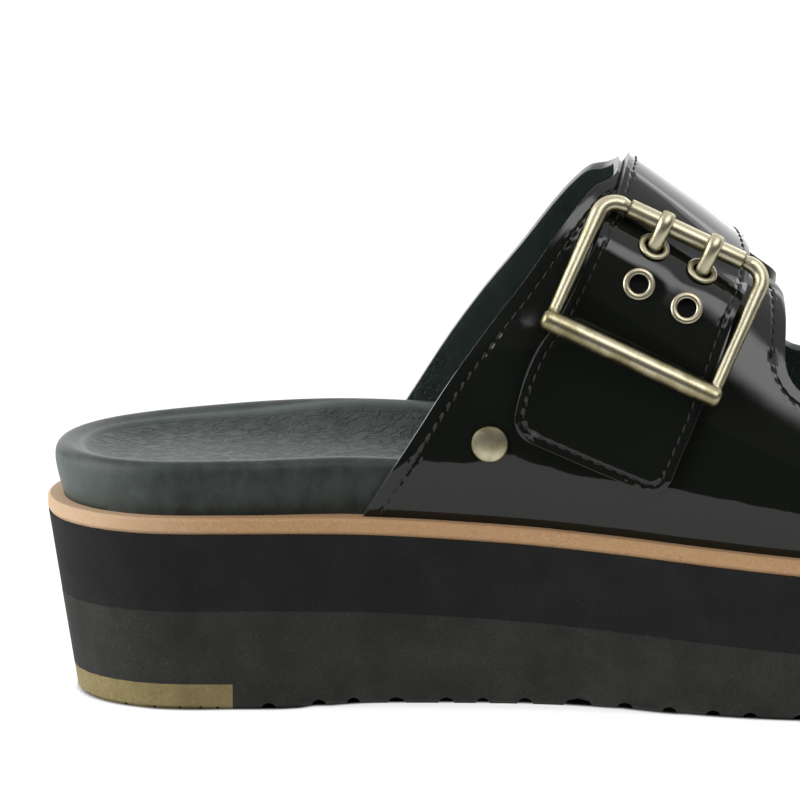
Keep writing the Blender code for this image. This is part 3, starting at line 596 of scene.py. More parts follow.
def cut_layer(node, name, finish, slot, keep_angle):
    """One layer of the sandwich, glued to the layer below it."""
    layer = copy_of(node, name)
    close_joint(layer, -1.0)
    crease_rims(layer, keep_angle)
    subdivide(layer, 2)
    shade_rounded(keep_angle)
    layer.data.materials.append(finish)
    settle(layer, slot, node)


cut_layer("midsole", "midsole_layer", MIDSOLE_FOAM, "midsole_foam", 40)
cut_layer("welt", "welt_rand", WELT_BOARD, "welt_board", 30)

# %% Outsole and heel tip
TREAD_ANGLE = 28

outsole = copy_of("outsole", "outsole_layer")
select_only(outsole)
shade_rounded(TREAD_ANGLE)
outsole.data.materials.append(OUTSOLE_FOAM)
settle(outsole, "outsole_foam", "outsole")

heel_tip = copy_of("heel_tip", "heel_tip_block")
close_joint(heel_tip, 1.0)
pick_faces(heel_tip, lambda centre, normal: normal.x > SQUARELY and centre.z > 0.0)
bpy.ops.transform.translate(value=(SEAM_GAP * MM, 0.0, 0.0))
end_edit()
select_only(heel_tip)
shade_rounded(TREAD_ANGLE)
heel_tip.data.materials.append(HEEL_RUBBER)
settle(heel_tip, "heel_rubber", "heel_tip")

# %% [markdown]
# ## Footbed
# The footbed is a cork and foam core wrapped in leather. Its rim stands up round the foot, and a
# pressed groove about 9 mm inside the rim marks where the sock leather is let in. After
# subdivision the mesh is fine enough to press that groove straight into its top by each point's
# distance from the rim.

# %% Footbed
SOCK_INSET = 9.0
GROOVE_HALF = 0.9
GROOVE_DEPTH = 0.45
GROOVE_POWER = 1.5
SOCK_DROP = 0.30
# Measured inwards from the groove: half the step down, and the start and end of the wrinkles' rise
STEP_HALF = 0.6
WRINKLES_FROM = -0.5
WRINKLES_FULL = 1.5
# Shares of the normal that point up where the top begins and where it is reached
TOP_FROM = 0.1
TOP_FULL = 0.5
PRESSED_LINE_PALENESS = 0.45
PRESSED_WIDTH = 0.8
HEEL_PAINTED_LIGHT = 0.24
# Along the shoe, in metres: the heel wall's painted light is full up to the first, gone at the
# second
HEEL_LIGHT_FULL_TO = -0.126
HEEL_LIGHT_GONE_AT = -0.098
OUTLINE_SAMPLES = 500


def smooth_step(low, high, value):
    """0 below low, 1 above high, and an even S between."""
    u = np.clip((value - low) / (high - low), 0.0, 1.0)
    return u * u * (3.0 - 2.0 * u)


def vertex_array(piece):
    points = np.empty(len(piece.data.vertices) * 3)
    piece.data.vertices.foreach_get("co", points)
    return points.reshape(-1, 3)


def vertex_normals(piece):
    return np.array([v.normal for v in piece.data.vertices])


def put_vertices(piece, points):
    piece.data.vertices.foreach_set("co", np.ascontiguousarray(points, float).ravel())
    piece.data.update()


def store(piece, name, values):
    """Keep one number per point as an attribute that a finish can read."""
    layer = piece.data.attributes.get(name) or piece.data.attributes.new(name, "FLOAT", "POINT")
    layer.data.foreach_set("value", np.asarray(values, float))


def point_tree(points):
    """A tree that finds the nearest of many points."""
    tree = KDTree(len(points))
    for i, point in enumerate(points):
        tree.insert(point, i)
    tree.balance()
    return tree


def rim_depth(points):
    """How far inside the sole's outline each point lies from above, in mm; negative outside."""
    stations = LENGTH * (1.0 - np.cos(np.linspace(0.0, math.pi, OUTLINE_SAMPLES))) / 2.0
    rims = np.vstack([np.column_stack([stations, sole_edge(side, sign, stations)])
                      for side, sign in (("lateral", -1.0), ("medial", 1.0))])
    tree = point_tree([(x, y, 0.0) for x, y in rims])
    x, y, _ = (points / MM + np.array([LENGTH / 2.0, 0.0, 0.0])).T
    away = np.array([tree.find((a, b, 0.0))[2] for a, b in zip(x, y)])
    along = (x > 0.0) & (x < LENGTH)
    across = (y > sole_edge("lateral", -1.0, x)) & (y < sole_edge("medial", 1.0, x))
    return np.where(along & across, away, -away)


footbed = copy_of("footbed", "footbed_cover")
close_joint(footbed, -1.0)
pick_faces(footbed, lambda centre, normal: normal.z < -SQUARELY)
bpy.ops.mesh.region_to_loop()
bpy.ops.transform.edge_crease(value=1.0)
end_edit()
subdivide(footbed, 3)
shade_rounded(75)
points = vertex_array(footbed)
inset = rim_depth(points)
top = smooth_step(TOP_FROM, TOP_FULL, vertex_normals(footbed)[:, 2])
groove = np.clip(1.0 - np.abs(inset - SOCK_INSET) / GROOVE_HALF, 0.0, 1.0)
let_in = smooth_step(SOCK_INSET - STEP_HALF, SOCK_INSET + STEP_HALF, inset)
drop = GROOVE_DEPTH * groove ** GROOVE_POWER + SOCK_DROP * let_in
points[:, 2] -= drop * top * MM
put_vertices(footbed, points)
loose = smooth_step(SOCK_INSET + WRINKLES_FROM, SOCK_INSET + WRINKLES_FULL, inset)
store(footbed, "sock", loose * top)
# A pale line along the groove's lip, and painted light on the heel's wall for the side lamp
from_lip = (inset - SOCK_INSET + GROOVE_HALF) / PRESSED_WIDTH
pressed_line = PRESSED_LINE_PALENESS * np.exp(-from_lip ** 2) * top
at_heel = 1.0 - smooth_step(HEEL_LIGHT_FULL_TO, HEEL_LIGHT_GONE_AT, points[:, 0])
store(footbed, "pale_line_and_painted_light", pressed_line + HEEL_PAINTED_LIGHT * at_heel * (1.0 - top))
select_only(footbed)
bpy.ops.object.shade_smooth()
footbed.data.materials.append(FOOTBED_LEATHER)
settle(footbed, "footbed_leather", "footbed")

# %% [markdown]
# ## Upper
# The upper is one piece of leather: a rear band and a front band that join along both sides, with
# an open gap over the bend of the foot. It starts as a flat grid, the faces of the gap are
# deleted, and the rest is pulled over the last so that its rows end on the cut edges read from
# the side view. Solidify gives it a wall with the lining inside and painted edges, and a small
# bevel takes the sharpness off the cut.

# %% Cut lines of the upper
NOTCH_REAR = 175.8
NOTCH_FRONT = 194.0
NOTCH_FLOOR = 77.0
NOTCH_RIM = 86.0
# Each cut edge gives a height and the station where the edge passes it
REAR_EDGE = ((44.0, 73.9), (55.7, 80.7), (68.6, 88.8), (81.1, 96.7), (93.3, 105.4),
             (104.6, 114.3), (115.7, 122.4), (122.0, 127.6), (125.4, 131.3), (126.6, 135.0),
             (128.5, 137.0), (132.0, 137.5))
REAR_BAND_FRONT = ((40.0, 175.8), (86.0, 175.8), (95.0, 176.4), (98.4, 176.2), (100.2, 175.2),
                   (102.5, 172.4), (105.0, 168.6), (107.0, 166.2), (112.0, 165.0))
FRONT_BAND_REAR = ((40.0, 194.0), (82.0, 194.0), (88.0, 192.4), (96.0, 190.0))
FRONT_EDGE = ((36.0, 243.0), (50.0, 240.0), (64.0, 233.0), (76.0, 225.0), (84.0, 222.0))
HALVINGS = 30


def meet_edge(rows, turn, low, high):
    """Station where the line of each turn crosses a cut edge given as height and station."""
    edge = smooth_curve(*zip(*rows))
    low = np.full_like(turn, low)
    high = np.full_like(turn, high)
    for _ in range(HALVINGS):
        middle = (low + high) / 2.0
        before = middle < edge(last(middle, turn)[..., 2])
        low = np.where(before, middle, low)
        high = np.where(before, high, middle)
    return (low + high) / 2.0


def turn_at_height(station, height):
    base = LAST_AT["welt_top"](station) + BASE_LIFT
    climb = np.clip((height - base) / (LAST_AT["crest"](station) - base), 0.0, 1.0)
    return np.arcsin(climb ** (ARCH_POWER / 2.0)) / math.pi


def notch_height(station):
    middle = (NOTCH_REAR + NOTCH_FRONT) / 2.0
    reach = np.clip(np.abs(station - middle) / (NOTCH_FRONT - middle), 0.0, 1.0)
    return NOTCH_RIM - (NOTCH_RIM - NOTCH_FLOOR) * np.sqrt(1.0 - reach * reach)


print("gap between the bands:", NOTCH_FRONT - NOTCH_REAR, "mm at the rim")

# %% Pull the upper over the last
REAR_COLUMNS = 44
GAP_COLUMNS = 16
FRONT_COLUMNS = 28
BASE_ROWS = 20
CROWN_ROWS = 34
BASE_SPREAD = 1.5
# Where the buckle's end pulls, the leather swells
SWELL_STATION = 111.8
SWELL_HEIGHT = 89.7
SWELL_BEHIND = 5.0
SWELL_AHEAD = 6.6
SWELL_BELOW = 14.0
SWELL_ABOVE = 4.5
SWELL_RISE = 2.5
UPPER_COLUMNS = REAR_COLUMNS + GAP_COLUMNS + FRONT_COLUMNS
UPPER_ROWS = 2 * (BASE_ROWS + CROWN_ROWS)


def new_piece(primitive, **sizes):
    """Add a primitive with nothing else selected."""
    bpy.ops.object.select_all(action="DESELECT")
    primitive(**sizes)
    return bpy.context.active_object


def flat_grid(name, columns, rows):
    """A flat sheet of quads, one metre across."""
    sheet = new_piece(bpy.ops.mesh.primitive_grid_add, x_subdivisions=columns,
                      y_subdivisions=rows, size=1.0)
    sheet.name = name
    return sheet


def upper_places(column, row):
    """Station and turn of each grid point of the upper."""
    half = BASE_ROWS + CROWN_ROWS
    step = np.where(row <= half, row, 2 * half - row)
    notch_share = np.clip((column - REAR_COLUMNS) / GAP_COLUMNS, 0.0, 1.0)
    middle = (NOTCH_REAR + NOTCH_FRONT) / 2.0
    gap_station = middle - (NOTCH_FRONT - middle) * np.cos(math.pi * notch_share)
    base = turn_at_height(gap_station, notch_height(gap_station))
    low = base * (np.minimum(step, BASE_ROWS) / BASE_ROWS) ** BASE_SPREAD
    turn = low + (0.5 - base) * np.maximum(step - BASE_ROWS, 0.0) / CROWN_ROWS
    turn = np.where(row <= half, turn, 1.0 - turn)
    # Each cut edge is looked for between two stations
    rear_from = meet_edge(REAR_EDGE, turn, 60.0, 150.0)
    rear_to = meet_edge(REAR_BAND_FRONT, turn, 160.0, 185.0)
    front_from = meet_edge(FRONT_BAND_REAR, turn, 180.0, 205.0)
    front_to = meet_edge(FRONT_EDGE, turn, 205.0, 255.0)
    rear = rear_from + (rear_to - rear_from) * np.clip(column / REAR_COLUMNS, 0.0, 1.0)
    passed = (column - REAR_COLUMNS - GAP_COLUMNS) / FRONT_COLUMNS
    front = front_from + (front_to - front_from) * np.clip(passed, 0.0, 1.0)
    beyond = np.where(passed >= 0.0, front, gap_station)
    station = np.where(column <= REAR_COLUMNS, rear, beyond)
    return station, turn


def bulge(points):
    """Outward swell of the leather on the outer side, in mm."""
    aside = points[:, 0] - SWELL_STATION
    climb = points[:, 2] - SWELL_HEIGHT
    away = (aside / np.where(aside < 0.0, SWELL_BEHIND, SWELL_AHEAD)) ** 2
    away += (climb / np.where(climb < 0.0, SWELL_BELOW, SWELL_ABOVE)) ** 2
    return SWELL_RISE * np.exp(-away / 2.0) * (points[:, 1] < 0.0)


upper = flat_grid("upper_leather", UPPER_COLUMNS, UPPER_ROWS)
gap_start = REAR_COLUMNS / UPPER_COLUMNS - 0.5
gap_end = (REAR_COLUMNS + GAP_COLUMNS) / UPPER_COLUMNS - 0.5
gap_base = 0.5 - BASE_ROWS / UPPER_ROWS
pick_faces(upper, lambda centre, normal:
           gap_start < centre.x < gap_end and abs(centre.y) < gap_base)
bpy.ops.mesh.delete(type="FACE")
end_edit()
flat = vertex_array(upper) + 0.5
upper_row = np.rint(flat[:, 1] * UPPER_ROWS)
places = upper_places(np.rint(flat[:, 0] * UPPER_COLUMNS), upper_row)
pulled = last(*places)
pulled += last_normal(*places) * bulge(pulled)[:, None]
put_vertices(upper, to_metres(pulled))
print("upper sheet", len(upper.data.polygons), "quads")

# %% [markdown]
# A seam runs at an even distance inside a cut edge. Each border of the sheet is walked round
# once, and every point is stepped inwards along the surface. The seam lines are used three times:
# for the puckers in the finish, for the thread, and for printing the length of each row.

# %% Borders and seam lines
UPPER_SEAM_INSET = 3.2
SEAM_SAMPLE = 0.4


def borders(piece):
    """Ordered border loops of an open sheet, as lists of point numbers."""
    uses = {}
    for face in piece.data.polygons:
        for edge in face.edge_keys:
            uses[edge] = uses.get(edge, 0) + 1
    beside = {}
    for a, b in (edge for edge, count in uses.items() if count == 1):
        beside.setdefault(a, []).append(b)
        beside.setdefault(b, []).append(a)
    loops = []
    while beside:
        walk = [next(iter(beside))]
        while True:
            onward = [v for v in beside.pop(walk[-1], []) if v in beside]
            if not onward:
                break
            walk.append(onward[0])
        loops.append(walk)
    return loops


def runs_where(loop, keep):
    """Cut a closed border into the stretches whose points are kept."""
    if all(keep[v] for v in loop):
        return [loop + loop[:1]]
    start = next(i for i, v in enumerate(loop) if not keep[v])
    runs = [[]]
    for v in loop[start:] + loop[:start]:
        if keep[v]:
            runs[-1].append(v)
        elif runs[-1]:
            runs.append([])
    return [run for run in runs if len(run) > 2]


def surface_tree(piece):
    """A tree that finds the nearest place on a piece's faces."""
    return BVHTree.FromPolygons([v.co for v in piece.data.vertices],
                                [face.vertices for face in piece.data.polygons])


def seam_line(piece, run, inset_mm):
    """Evenly spaced points a set distance inside a stretch of border."""
    points = vertex_array(piece)[run]
    normals = np.array([piece.data.vertices[v].normal for v in run])
    tangents = np.gradient(points, axis=0)
    if run[0] == run[-1]:
        tangents[0] = tangents[-1] = points[1] - points[-2]
    inward = np.cross(normals, tangents)
    inward /= np.linalg.norm(inward, axis=1, keepdims=True)
    tree = surface_tree(piece)
    tries = [points + sign * inward * inset_mm * MM for sign in (1.0, -1.0)]
    misses = [np.mean([tree.find_nearest(p)[3] for p in line]) for line in tries]
    # The way that stays on the leather is inwards, and its line keeps the leather on the left
    line = tries[0] if misses[0] < misses[1] else tries[1][::-1]
    run_mm = np.concatenate(([0.0], np.cumsum(np.linalg.norm(np.diff(line, axis=0), axis=1)))) / MM
    marks = np.arange(0.0, run_mm[-1], SEAM_SAMPLE)
    return np.column_stack([np.interp(marks, run_mm, line[:, k]) for k in range(3)])


inside_rows = (upper_row > 0) & (upper_row < UPPER_ROWS)
upper_seams = [seam_line(upper, run, UPPER_SEAM_INSET)
               for loop in borders(upper) for run in runs_where(loop, inside_rows)]
print("upper seams, mm:", [round(len(line) * SEAM_SAMPLE) for line in upper_seams])

# %% [markdown]
# With the seam lines known, the sheet gets its wall. Solidify grows inwards, so the outer face
# stays on the last, and it gives the inner faces and the rim their own materials.

# %% Wall, lining and edge of the upper
UPPER_WALL = 2.2
UPPER_BEVEL = 0.55
# In metres: below the first height the lining is loose, above the second it is stretched
LINING_LOOSE = 0.062
LINING_TIGHT = 0.085


def give_wall(piece, wall_mm, bevel_mm):
    """Thicken a sheet inwards, with lining inside, painted edges and a softened cut."""
    for finish in (PATENT_LEATHER, LINING_LEATHER, EDGE_PAINT):
        piece.data.materials.append(finish)
    wall = piece.modifiers.new("wall", "SOLIDIFY")
    wall.thickness = wall_mm * MM
    wall.offset = -1.0
    wall.use_quality_normals = True
    wall.material_offset = 1
    wall.material_offset_rim = 2
    bevel = piece.modifiers.new("cut_edge", "BEVEL")
    bevel.width = bevel_mm * MM
    bevel.segments = 3
    bevel.limit_method = "ANGLE"
    bevel.angle_limit = math.radians(55)
    apply_modifiers(piece)
    shade_rounded(50)


def store_seams(piece, lines):
    """Signed distance from the nearest seam line, and distance along it, for every point."""
    samples = np.vstack(lines)
    tangents = np.vstack([np.gradient(line, axis=0) for line in lines])
    tangents /= np.linalg.norm(tangents, axis=1, keepdims=True)
    run = np.concatenate([np.arange(len(line)) * SEAM_SAMPLE for line in lines])
    tree = point_tree(samples)
    points = vertex_array(piece)
    nearest = np.array([tree.find(p)[1] for p in points])
    gap = points - samples[nearest]
    aside = np.cross(vertex_normals(piece), tangents[nearest])
    store(piece, "seam_mm", np.einsum("ij,ij->i", gap, aside) / MM)
    store(piece, "along_mm", run[nearest] + np.einsum("ij,ij->i", gap, tangents[nearest]) / MM)


give_wall(upper, UPPER_WALL, UPPER_BEVEL)
store_seams(upper, upper_seams)
tight = smooth_step(LINING_LOOSE, LINING_TIGHT, vertex_array(upper)[:, 2])
store(upper, "loose", 1.0 - tight)
settle(upper, "patent_leather", "upper")

# %% [markdown]
# ## Straps
# Each strap is a flat strip with round tail corners, laid over the band from its tail on the
# outer side, through the buckle and over the crest. A short table says where its two edges lie
# for each turn and how far it lifts to pass over the buckle's hidden middle bar.

# %% Strap tables
STRAP_COLUMNS = ("turn", "skew", "rear", "front", "lift")
REAR_STRAP = (
    (0.049, 0.024, 111.0, 147.5, 0.3), (0.090, 0.016, 113.8, 151.5, 0.3),
    (0.125, 0.014, 117.5, 154.6, 0.3), (0.155, 0.019, 122.2, 156.5, 0.5),
    (0.195, 0.010, 125.8, 159.1, 1.8), (0.235, 0.000, 128.7, 161.3, 3.0),
    (0.266, -0.008, 130.5, 162.9, 3.6), (0.300, -0.014, 132.2, 164.7, 2.2),
    (0.336, -0.022, 134.5, 166.2, 0.5), (0.410, -0.015, 137.0, 167.0, 0.3),
    (0.500, 0.000, 138.4, 166.2, 0.3), (0.640, 0.000, 138.6, 163.5, 0.3),
)
FRONT_STRAP = (
    (0.090, 0.008, 194.8, 226.5, 0.3), (0.160, 0.010, 194.2, 226.0, 0.3),
    (0.240, 0.005, 193.6, 225.2, 0.6), (0.290, -0.005, 193.2, 224.7, 2.0),
    (0.340, -0.017, 192.9, 224.2, 3.2), (0.380, -0.025, 192.7, 223.9, 3.5),
    (0.420, -0.032, 192.6, 223.7, 2.2), (0.465, -0.040, 192.3, 223.2, 0.5),
    (0.560, -0.020, 192.0, 222.8, 0.3), (0.700, 0.000, 192.4, 222.0, 0.3),
)
STRAP_WALL = 2.0
TAIL_CORNER = 5.0
END_CROWDING = 0.85
# Between the two prongs the raised strap sags
SAG_SHARE = 0.53
SAG_WIDTH = 0.13
SAG_DEPTH = 0.6
SAG_FROM_LIFT = 2.0
SAG_FULL_LIFT = 3.4
RUN_SAMPLES = 400


def strap_point(curves, turn, share):
    """Point on a strap's outer face, for a turn and a share of its width."""
    station = curves["rear"](turn) + (curves["front"](turn) - curves["rear"](turn)) * share
    place = turn + curves["skew"](turn) * (0.5 - share)
    between = np.exp(-((share - SAG_SHARE) / SAG_WIDTH) ** 2)
    sag = SAG_DEPTH * between * smooth_step(SAG_FROM_LIFT, SAG_FULL_LIFT, curves["lift"](turn))
    bare = last(station, place)
    lift = curves["lift"](turn) + STRAP_WALL - sag + bulge(bare)
    return bare + last_normal(station, place) * lift[..., None]


def strap_places(table, across, along):
    """Points of a strap's outer face for grid shares across and along it."""
    curves = table_curves(STRAP_COLUMNS, table)
    crowded = along - END_CROWDING * np.sin(2.0 * math.pi * along) / (2.0 * math.pi)
    turn = table[0][0] + (table[-1][0] - table[0][0]) * crowded
    marks = np.linspace(table[0][0], table[-1][0], RUN_SAMPLES)
    middle = strap_point(curves, marks, np.full_like(marks, 0.5))
    run = np.concatenate(([0.0], np.cumsum(np.linalg.norm(np.diff(middle, axis=0), axis=1))))
    passed = np.interp(turn, marks, run)
    from_end = np.minimum(np.minimum(passed, run[-1] - passed), TAIL_CORNER)
    corner = TAIL_CORNER - np.sqrt(TAIL_CORNER ** 2 - (TAIL_CORNER - from_end) ** 2)
    edges = [strap_point(curves, turn, np.full_like(turn, share)) for share in (0.0, 1.0)]
    inset = corner / np.linalg.norm(edges[1] - edges[0], axis=-1)
    return strap_point(curves, turn, inset + (1.0 - 2.0 * inset) * across)


print("strap tables:", len(REAR_STRAP), "and", len(FRONT_STRAP), "rows")

# %% [markdown]
# The eyelets' places come from the CAD: the middle of each node's points, and the direction in
# which the points spread least, which is the eyelet's axis. A cylinder at each place then cuts
# the hole in the strap.

# %% Measure the small fittings
FOOT_AXIS_HEIGHT = 0.055


def node_axes(node):
    """Middle of a CAD node and its three main directions, widest first."""
    points = vertex_array(frame["nodes"][node])
    spread = np.linalg.svd(points - points.mean(axis=0), full_matrices=False)[2]
    return points.mean(axis=0), spread


def outward_from_foot(middle, direction):
    """Turn a direction so that it points away from the foot."""
    radial = np.array([0.0, middle[1], middle[2] - FOOT_AXIS_HEIGHT])
    return direction if np.dot(direction, radial) > 0.0 else -direction


def place_matrix(middle, across, outward):
    """Matrix that puts a piece built at the origin, flat on XY, in its place."""
    along = np.cross(outward, across)
    columns = np.column_stack([across, along, outward])
    return Matrix.Translation(Vector(middle)) @ Matrix(columns.tolist()).to_4x4()


EYELETS = [f"eyelet_{band}_{k}" for band in ("rear", "front") for k in (1, 2, 3, 4)]
eyelet_places = {}
for node in EYELETS:
    middle, spread = node_axes(node)
    outward = outward_from_foot(middle, spread[2])
    across = np.cross((0.0, 1.0, 0.0), outward)
    eyelet_places[node] = place_matrix(middle, across / np.linalg.norm(across), outward)
print("eyelets at", [tuple(round(v, 3) for v in matrix.translation)
                     for matrix in eyelet_places.values()][:2])

# %% Build the straps
STRAP_SEAM_INSET = 2.0
STRAP_HOLE = 2.9
CUTTER_LENGTH = 7.0
STRAP_BEVEL = 0.45
STRAP_GRID = (18, 120)


def apply_place():
    """Bake the selected piece's place, turn and scale into its mesh."""
    bpy.ops.object.transform_apply(location=True, rotation=True, scale=True)


def put_in_place(piece, matrix):
    """Move a piece built at the origin to its place and apply the move to its mesh."""
    select_only(piece)
    piece.matrix_world = matrix
    apply_place()


def punch(piece, matrices):
    """Cut a round hole through a piece at each place."""
    for matrix in matrices:
        cutter = new_piece(bpy.ops.mesh.primitive_cylinder_add, vertices=32,
                           radius=STRAP_HOLE * MM, depth=CUTTER_LENGTH * MM)
        put_in_place(cutter, matrix)
        hole = piece.modifiers.new("hole", "BOOLEAN")
        hole.operation = "DIFFERENCE"
        hole.solver = "EXACT"
        hole.object = cutter
        apply_modifiers(piece)
        bpy.data.objects.remove(cutter, do_unlink=True)


def build_strap(band, table):
    strap = flat_grid(f"strap_{band}_leather", *STRAP_GRID)
    flat = vertex_array(strap) + 0.5
    put_vertices(strap, to_metres(strap_places(table, flat[:, 0], flat[:, 1])))
    seams = [seam_line(strap, loop + loop[:1], STRAP_SEAM_INSET) for loop in borders(strap)]
    give_wall(strap, STRAP_WALL, STRAP_BEVEL)
    punch(strap, [eyelet_places[node] for node in EYELETS if band in node])
    store_seams(strap, seams)
    settle(strap, "patent_leather", f"strap_{band}")
    return strap, seams


strap_rear, rear_seams = build_strap("rear", REAR_STRAP)
strap_front, front_seams = build_strap("front", FRONT_STRAP)

# %% [markdown]
# ## Thread
# A lockstitch shows as a row of short grains of thread, each sunk at both ends. One grain is
# modelled from a small sphere and copied along every seam line as one joined mesh, each copy
# turned to the seam and seated on the leather.

# %% Stitches
STITCH_LENGTH = 2.3
STITCH_WIDTH = 0.62
STITCH_SLANT = 0.10
STITCH_SINK = 0.08
# Half the stretch of seam that a stitch's direction is read from
STITCH_REACH = 0.5


def stitch_grain():
    """Points and faces of one stitch, modelled once."""
    grain = new_piece(bpy.ops.mesh.primitive_uv_sphere_add, segments=8, ring_count=6,
                      radius=0.5 * MM)
    start_edit(grain)
    bpy.ops.transform.rotate(value=math.pi / 2.0, orient_axis="Y",
                             center_override=(0.0, 0.0, 0.0))
    bpy.ops.transform.resize(value=(STITCH_LENGTH, STITCH_WIDTH, STITCH_WIDTH))
    end_edit()
    points = vertex_array(grain)
    faces = [tuple(face.vertices) for face in grain.data.polygons]
    bpy.data.objects.remove(grain, do_unlink=True)
    return points, faces


GRAIN_POINTS, GRAIN_FACES = stitch_grain()


def sew(name, leather, lines):
    """One mesh of stitches along seam lines, seated on a piece of leather."""
    tree = surface_tree(leather)
    points = []
    faces = []
    for line in lines:
        run = np.arange(len(line)) * SEAM_SAMPLE
        for mark in np.arange(0.5 * STITCH_PITCH, run[-1], STITCH_PITCH):
            ends = [np.array([np.interp(mark + half, run, line[:, k]) for k in range(3)])
                    for half in (-STITCH_REACH, STITCH_REACH)]
            seat, normal = tree.find_nearest(Vector((ends[0] + ends[1]) / 2.0))[:2]
            normal = np.array(normal)
            ahead = ends[1] - ends[0]
            ahead -= normal * np.dot(ahead, normal)
            ahead /= np.linalg.norm(ahead)
            aside = np.cross(normal, ahead)
            slanted = ahead * math.cos(STITCH_SLANT) + aside * math.sin(STITCH_SLANT)
            axes = np.stack([slanted, np.cross(normal, slanted), normal])
            base = len(points) * len(GRAIN_POINTS)
            points.append(np.array(seat) - normal * STITCH_SINK * MM + GRAIN_POINTS @ axes)
            faces += [tuple(v + base for v in face) for face in GRAIN_FACES]
    mesh = bpy.data.meshes.new(name)
    mesh.from_pydata(np.vstack(points).tolist(), [], faces)
    mesh.materials.append(THREAD)
    stitches = bpy.data.objects.new(name, mesh)
    bpy.context.scene.collection.objects.link(stitches)
    select_only(stitches)
    bpy.ops.object.shade_smooth()
    settle(stitches, "patent_leather")


sew("stitching_upper", upper, upper_seams)
sew("stitching_strap_rear", strap_rear, rear_seams)
sew("stitching_strap_front", strap_front, front_seams)

# %% [markdown]
# ## Buckles
# A roller buckle is a cast frame: a thick lower bar, two thinner sides that bend in at the top,
# and a thin axle that carries the roller. It is built flat at the origin, then moved into the
# place measured on the CAD. The side wire starts as a disc that is extruded and spun round the
# corner, and the bar is a cylinder with rounded ends. A fine remesh melts them together, as
# casting does.

# %% Measure the buckles
BAR_RADIUS = 2.5
ROLLER_RADIUS = 2.25
# The half width is measured on the sides, between these shares of the height
SIDES_FROM = 0.3
SIDES_TO = 0.7


def buckle_place(band):
    """A buckle's matrix, and in mm its half width, height to the roller and half the roller."""
    roller, spread = node_axes(f"roller_{band}")
    across = spread[0] if spread[0][0] > 0.0 else -spread[0]
    points = vertex_array(frame["nodes"][f"buckle_{band}"]) - roller
    aside = np.abs(points @ across)
    down = np.linalg.norm(points - np.outer(points @ across, across), axis=1)
    low = points[down > down.max() - 2.0 * BAR_RADIUS * MM].mean(axis=0)
    low -= across * np.dot(low, across)
    height = np.linalg.norm(low)
    outward = outward_from_foot(roller + low, np.cross(across, -low / height))
    on_sides = (down > SIDES_FROM * height) & (down < SIDES_TO * height)
    half = aside[on_sides].mean() / MM
    tube = vertex_array(frame["nodes"][f"roller_{band}"]) - roller
    length = np.abs(tube @ across).max() / MM
    return place_matrix(roller + low, across, outward), half, height / MM, length


BUCKLES = {band: buckle_place(band) for band in ("rear", "front")}
print({band: [round(v, 1) for v in values[1:]] for band, values in BUCKLES.items()})

# %% Cast the frames
BAR_OVERRUN = 2.1
BAR_END_ROUND = 1.5
BAR_MARGIN = 0.3
UPPER_CORNER = 4.4
INTO_ROLLER = 1.5
# Wire radius at the bar, half way up, at the corner, at the roller and inside it
WIRE_AT_BAR = 1.45
WIRE_HALF_WAY = 1.65
WIRE_AT_CORNER = 1.95
WIRE_AT_ROLLER = 1.45
AXLE_RADIUS = 0.9
CAST_VOXEL = 0.2
# Paleness starts where a face looks this far outward, partly brushing and partly painted light
BRUSH_AND_LIGHT_REACH = 0.2
# Extra paleness on the wires, rollers, prongs and eyelets
EXTRA_PALENESS = 0.4
# The brush lines of each bar start at their own place, so that no two bars look alike
WIRE_LINES = 40.0
ROLLER_LINES = 90.0
UPWARD = np.array([0.0, 0.0, 1.0])


def store_polish_and_light(piece, outward, extra_paleness=0.0):
    """Polish and painted light per point: 1 where it looks outward, 0 where it looks aside, plus
    extra.
    """
    facing = vertex_normals(piece) @ outward
    store(piece, "polish_and_painted_light", smooth_step(BRUSH_AND_LIGHT_REACH, 1.0, facing) + extra_paleness)


def grow(step, scale):
    """Extrude the open end of a wire by a step and scale its new end."""
    bpy.ops.mesh.extrude_region_move(TRANSFORM_OT_translate={"value": tuple(v * MM for v in step)})
    bpy.ops.transform.resize(value=(scale, scale, scale))


def wire_half(half, height, length):
    """One side of the frame: a disc extruded up, spun round the corner and run in to the middle."""
    wire = new_piece(bpy.ops.mesh.primitive_circle_add, vertices=24, radius=WIRE_AT_BAR * MM,
                     fill_type="NGON", location=(half * MM, 0.0, 0.0),
                     rotation=(math.pi / 2.0, 0.0, 0.0))
    apply_place()
    start_edit(wire)
    rise = (height - UPPER_CORNER) / 2.0
    grow((0.0, rise, 0.0), WIRE_HALF_WAY / WIRE_AT_BAR)
    grow((0.0, rise, 0.0), WIRE_AT_CORNER / WIRE_HALF_WAY)
    centre = ((half - UPPER_CORNER) * MM, (height - UPPER_CORNER) * MM, 0.0)
    bpy.ops.mesh.spin(steps=10, angle=-math.pi / 2.0, center=centre, axis=(0.0, 0.0, 1.0))
    grow((length - half + UPPER_CORNER, 0.0, 0.0), WIRE_AT_ROLLER / WIRE_AT_CORNER)
    grow((-INTO_ROLLER, 0.0, 0.0), AXLE_RADIUS / WIRE_AT_ROLLER)
    to_middle = ((INTO_ROLLER - length) * MM, 0.0, 0.0)
    bpy.ops.mesh.extrude_region_move(TRANSFORM_OT_translate={"value": to_middle})
    bpy.ops.mesh.delete(type="ONLY_FACE")
    bpy.ops.mesh.select_all(action="SELECT")
    bpy.ops.mesh.normals_make_consistent(inside=False)
    end_edit()
    mirror = wire.modifiers.new("other_side", "MIRROR")
    mirror.merge_threshold = 1e-5
    apply_modifiers(wire)
    return wire


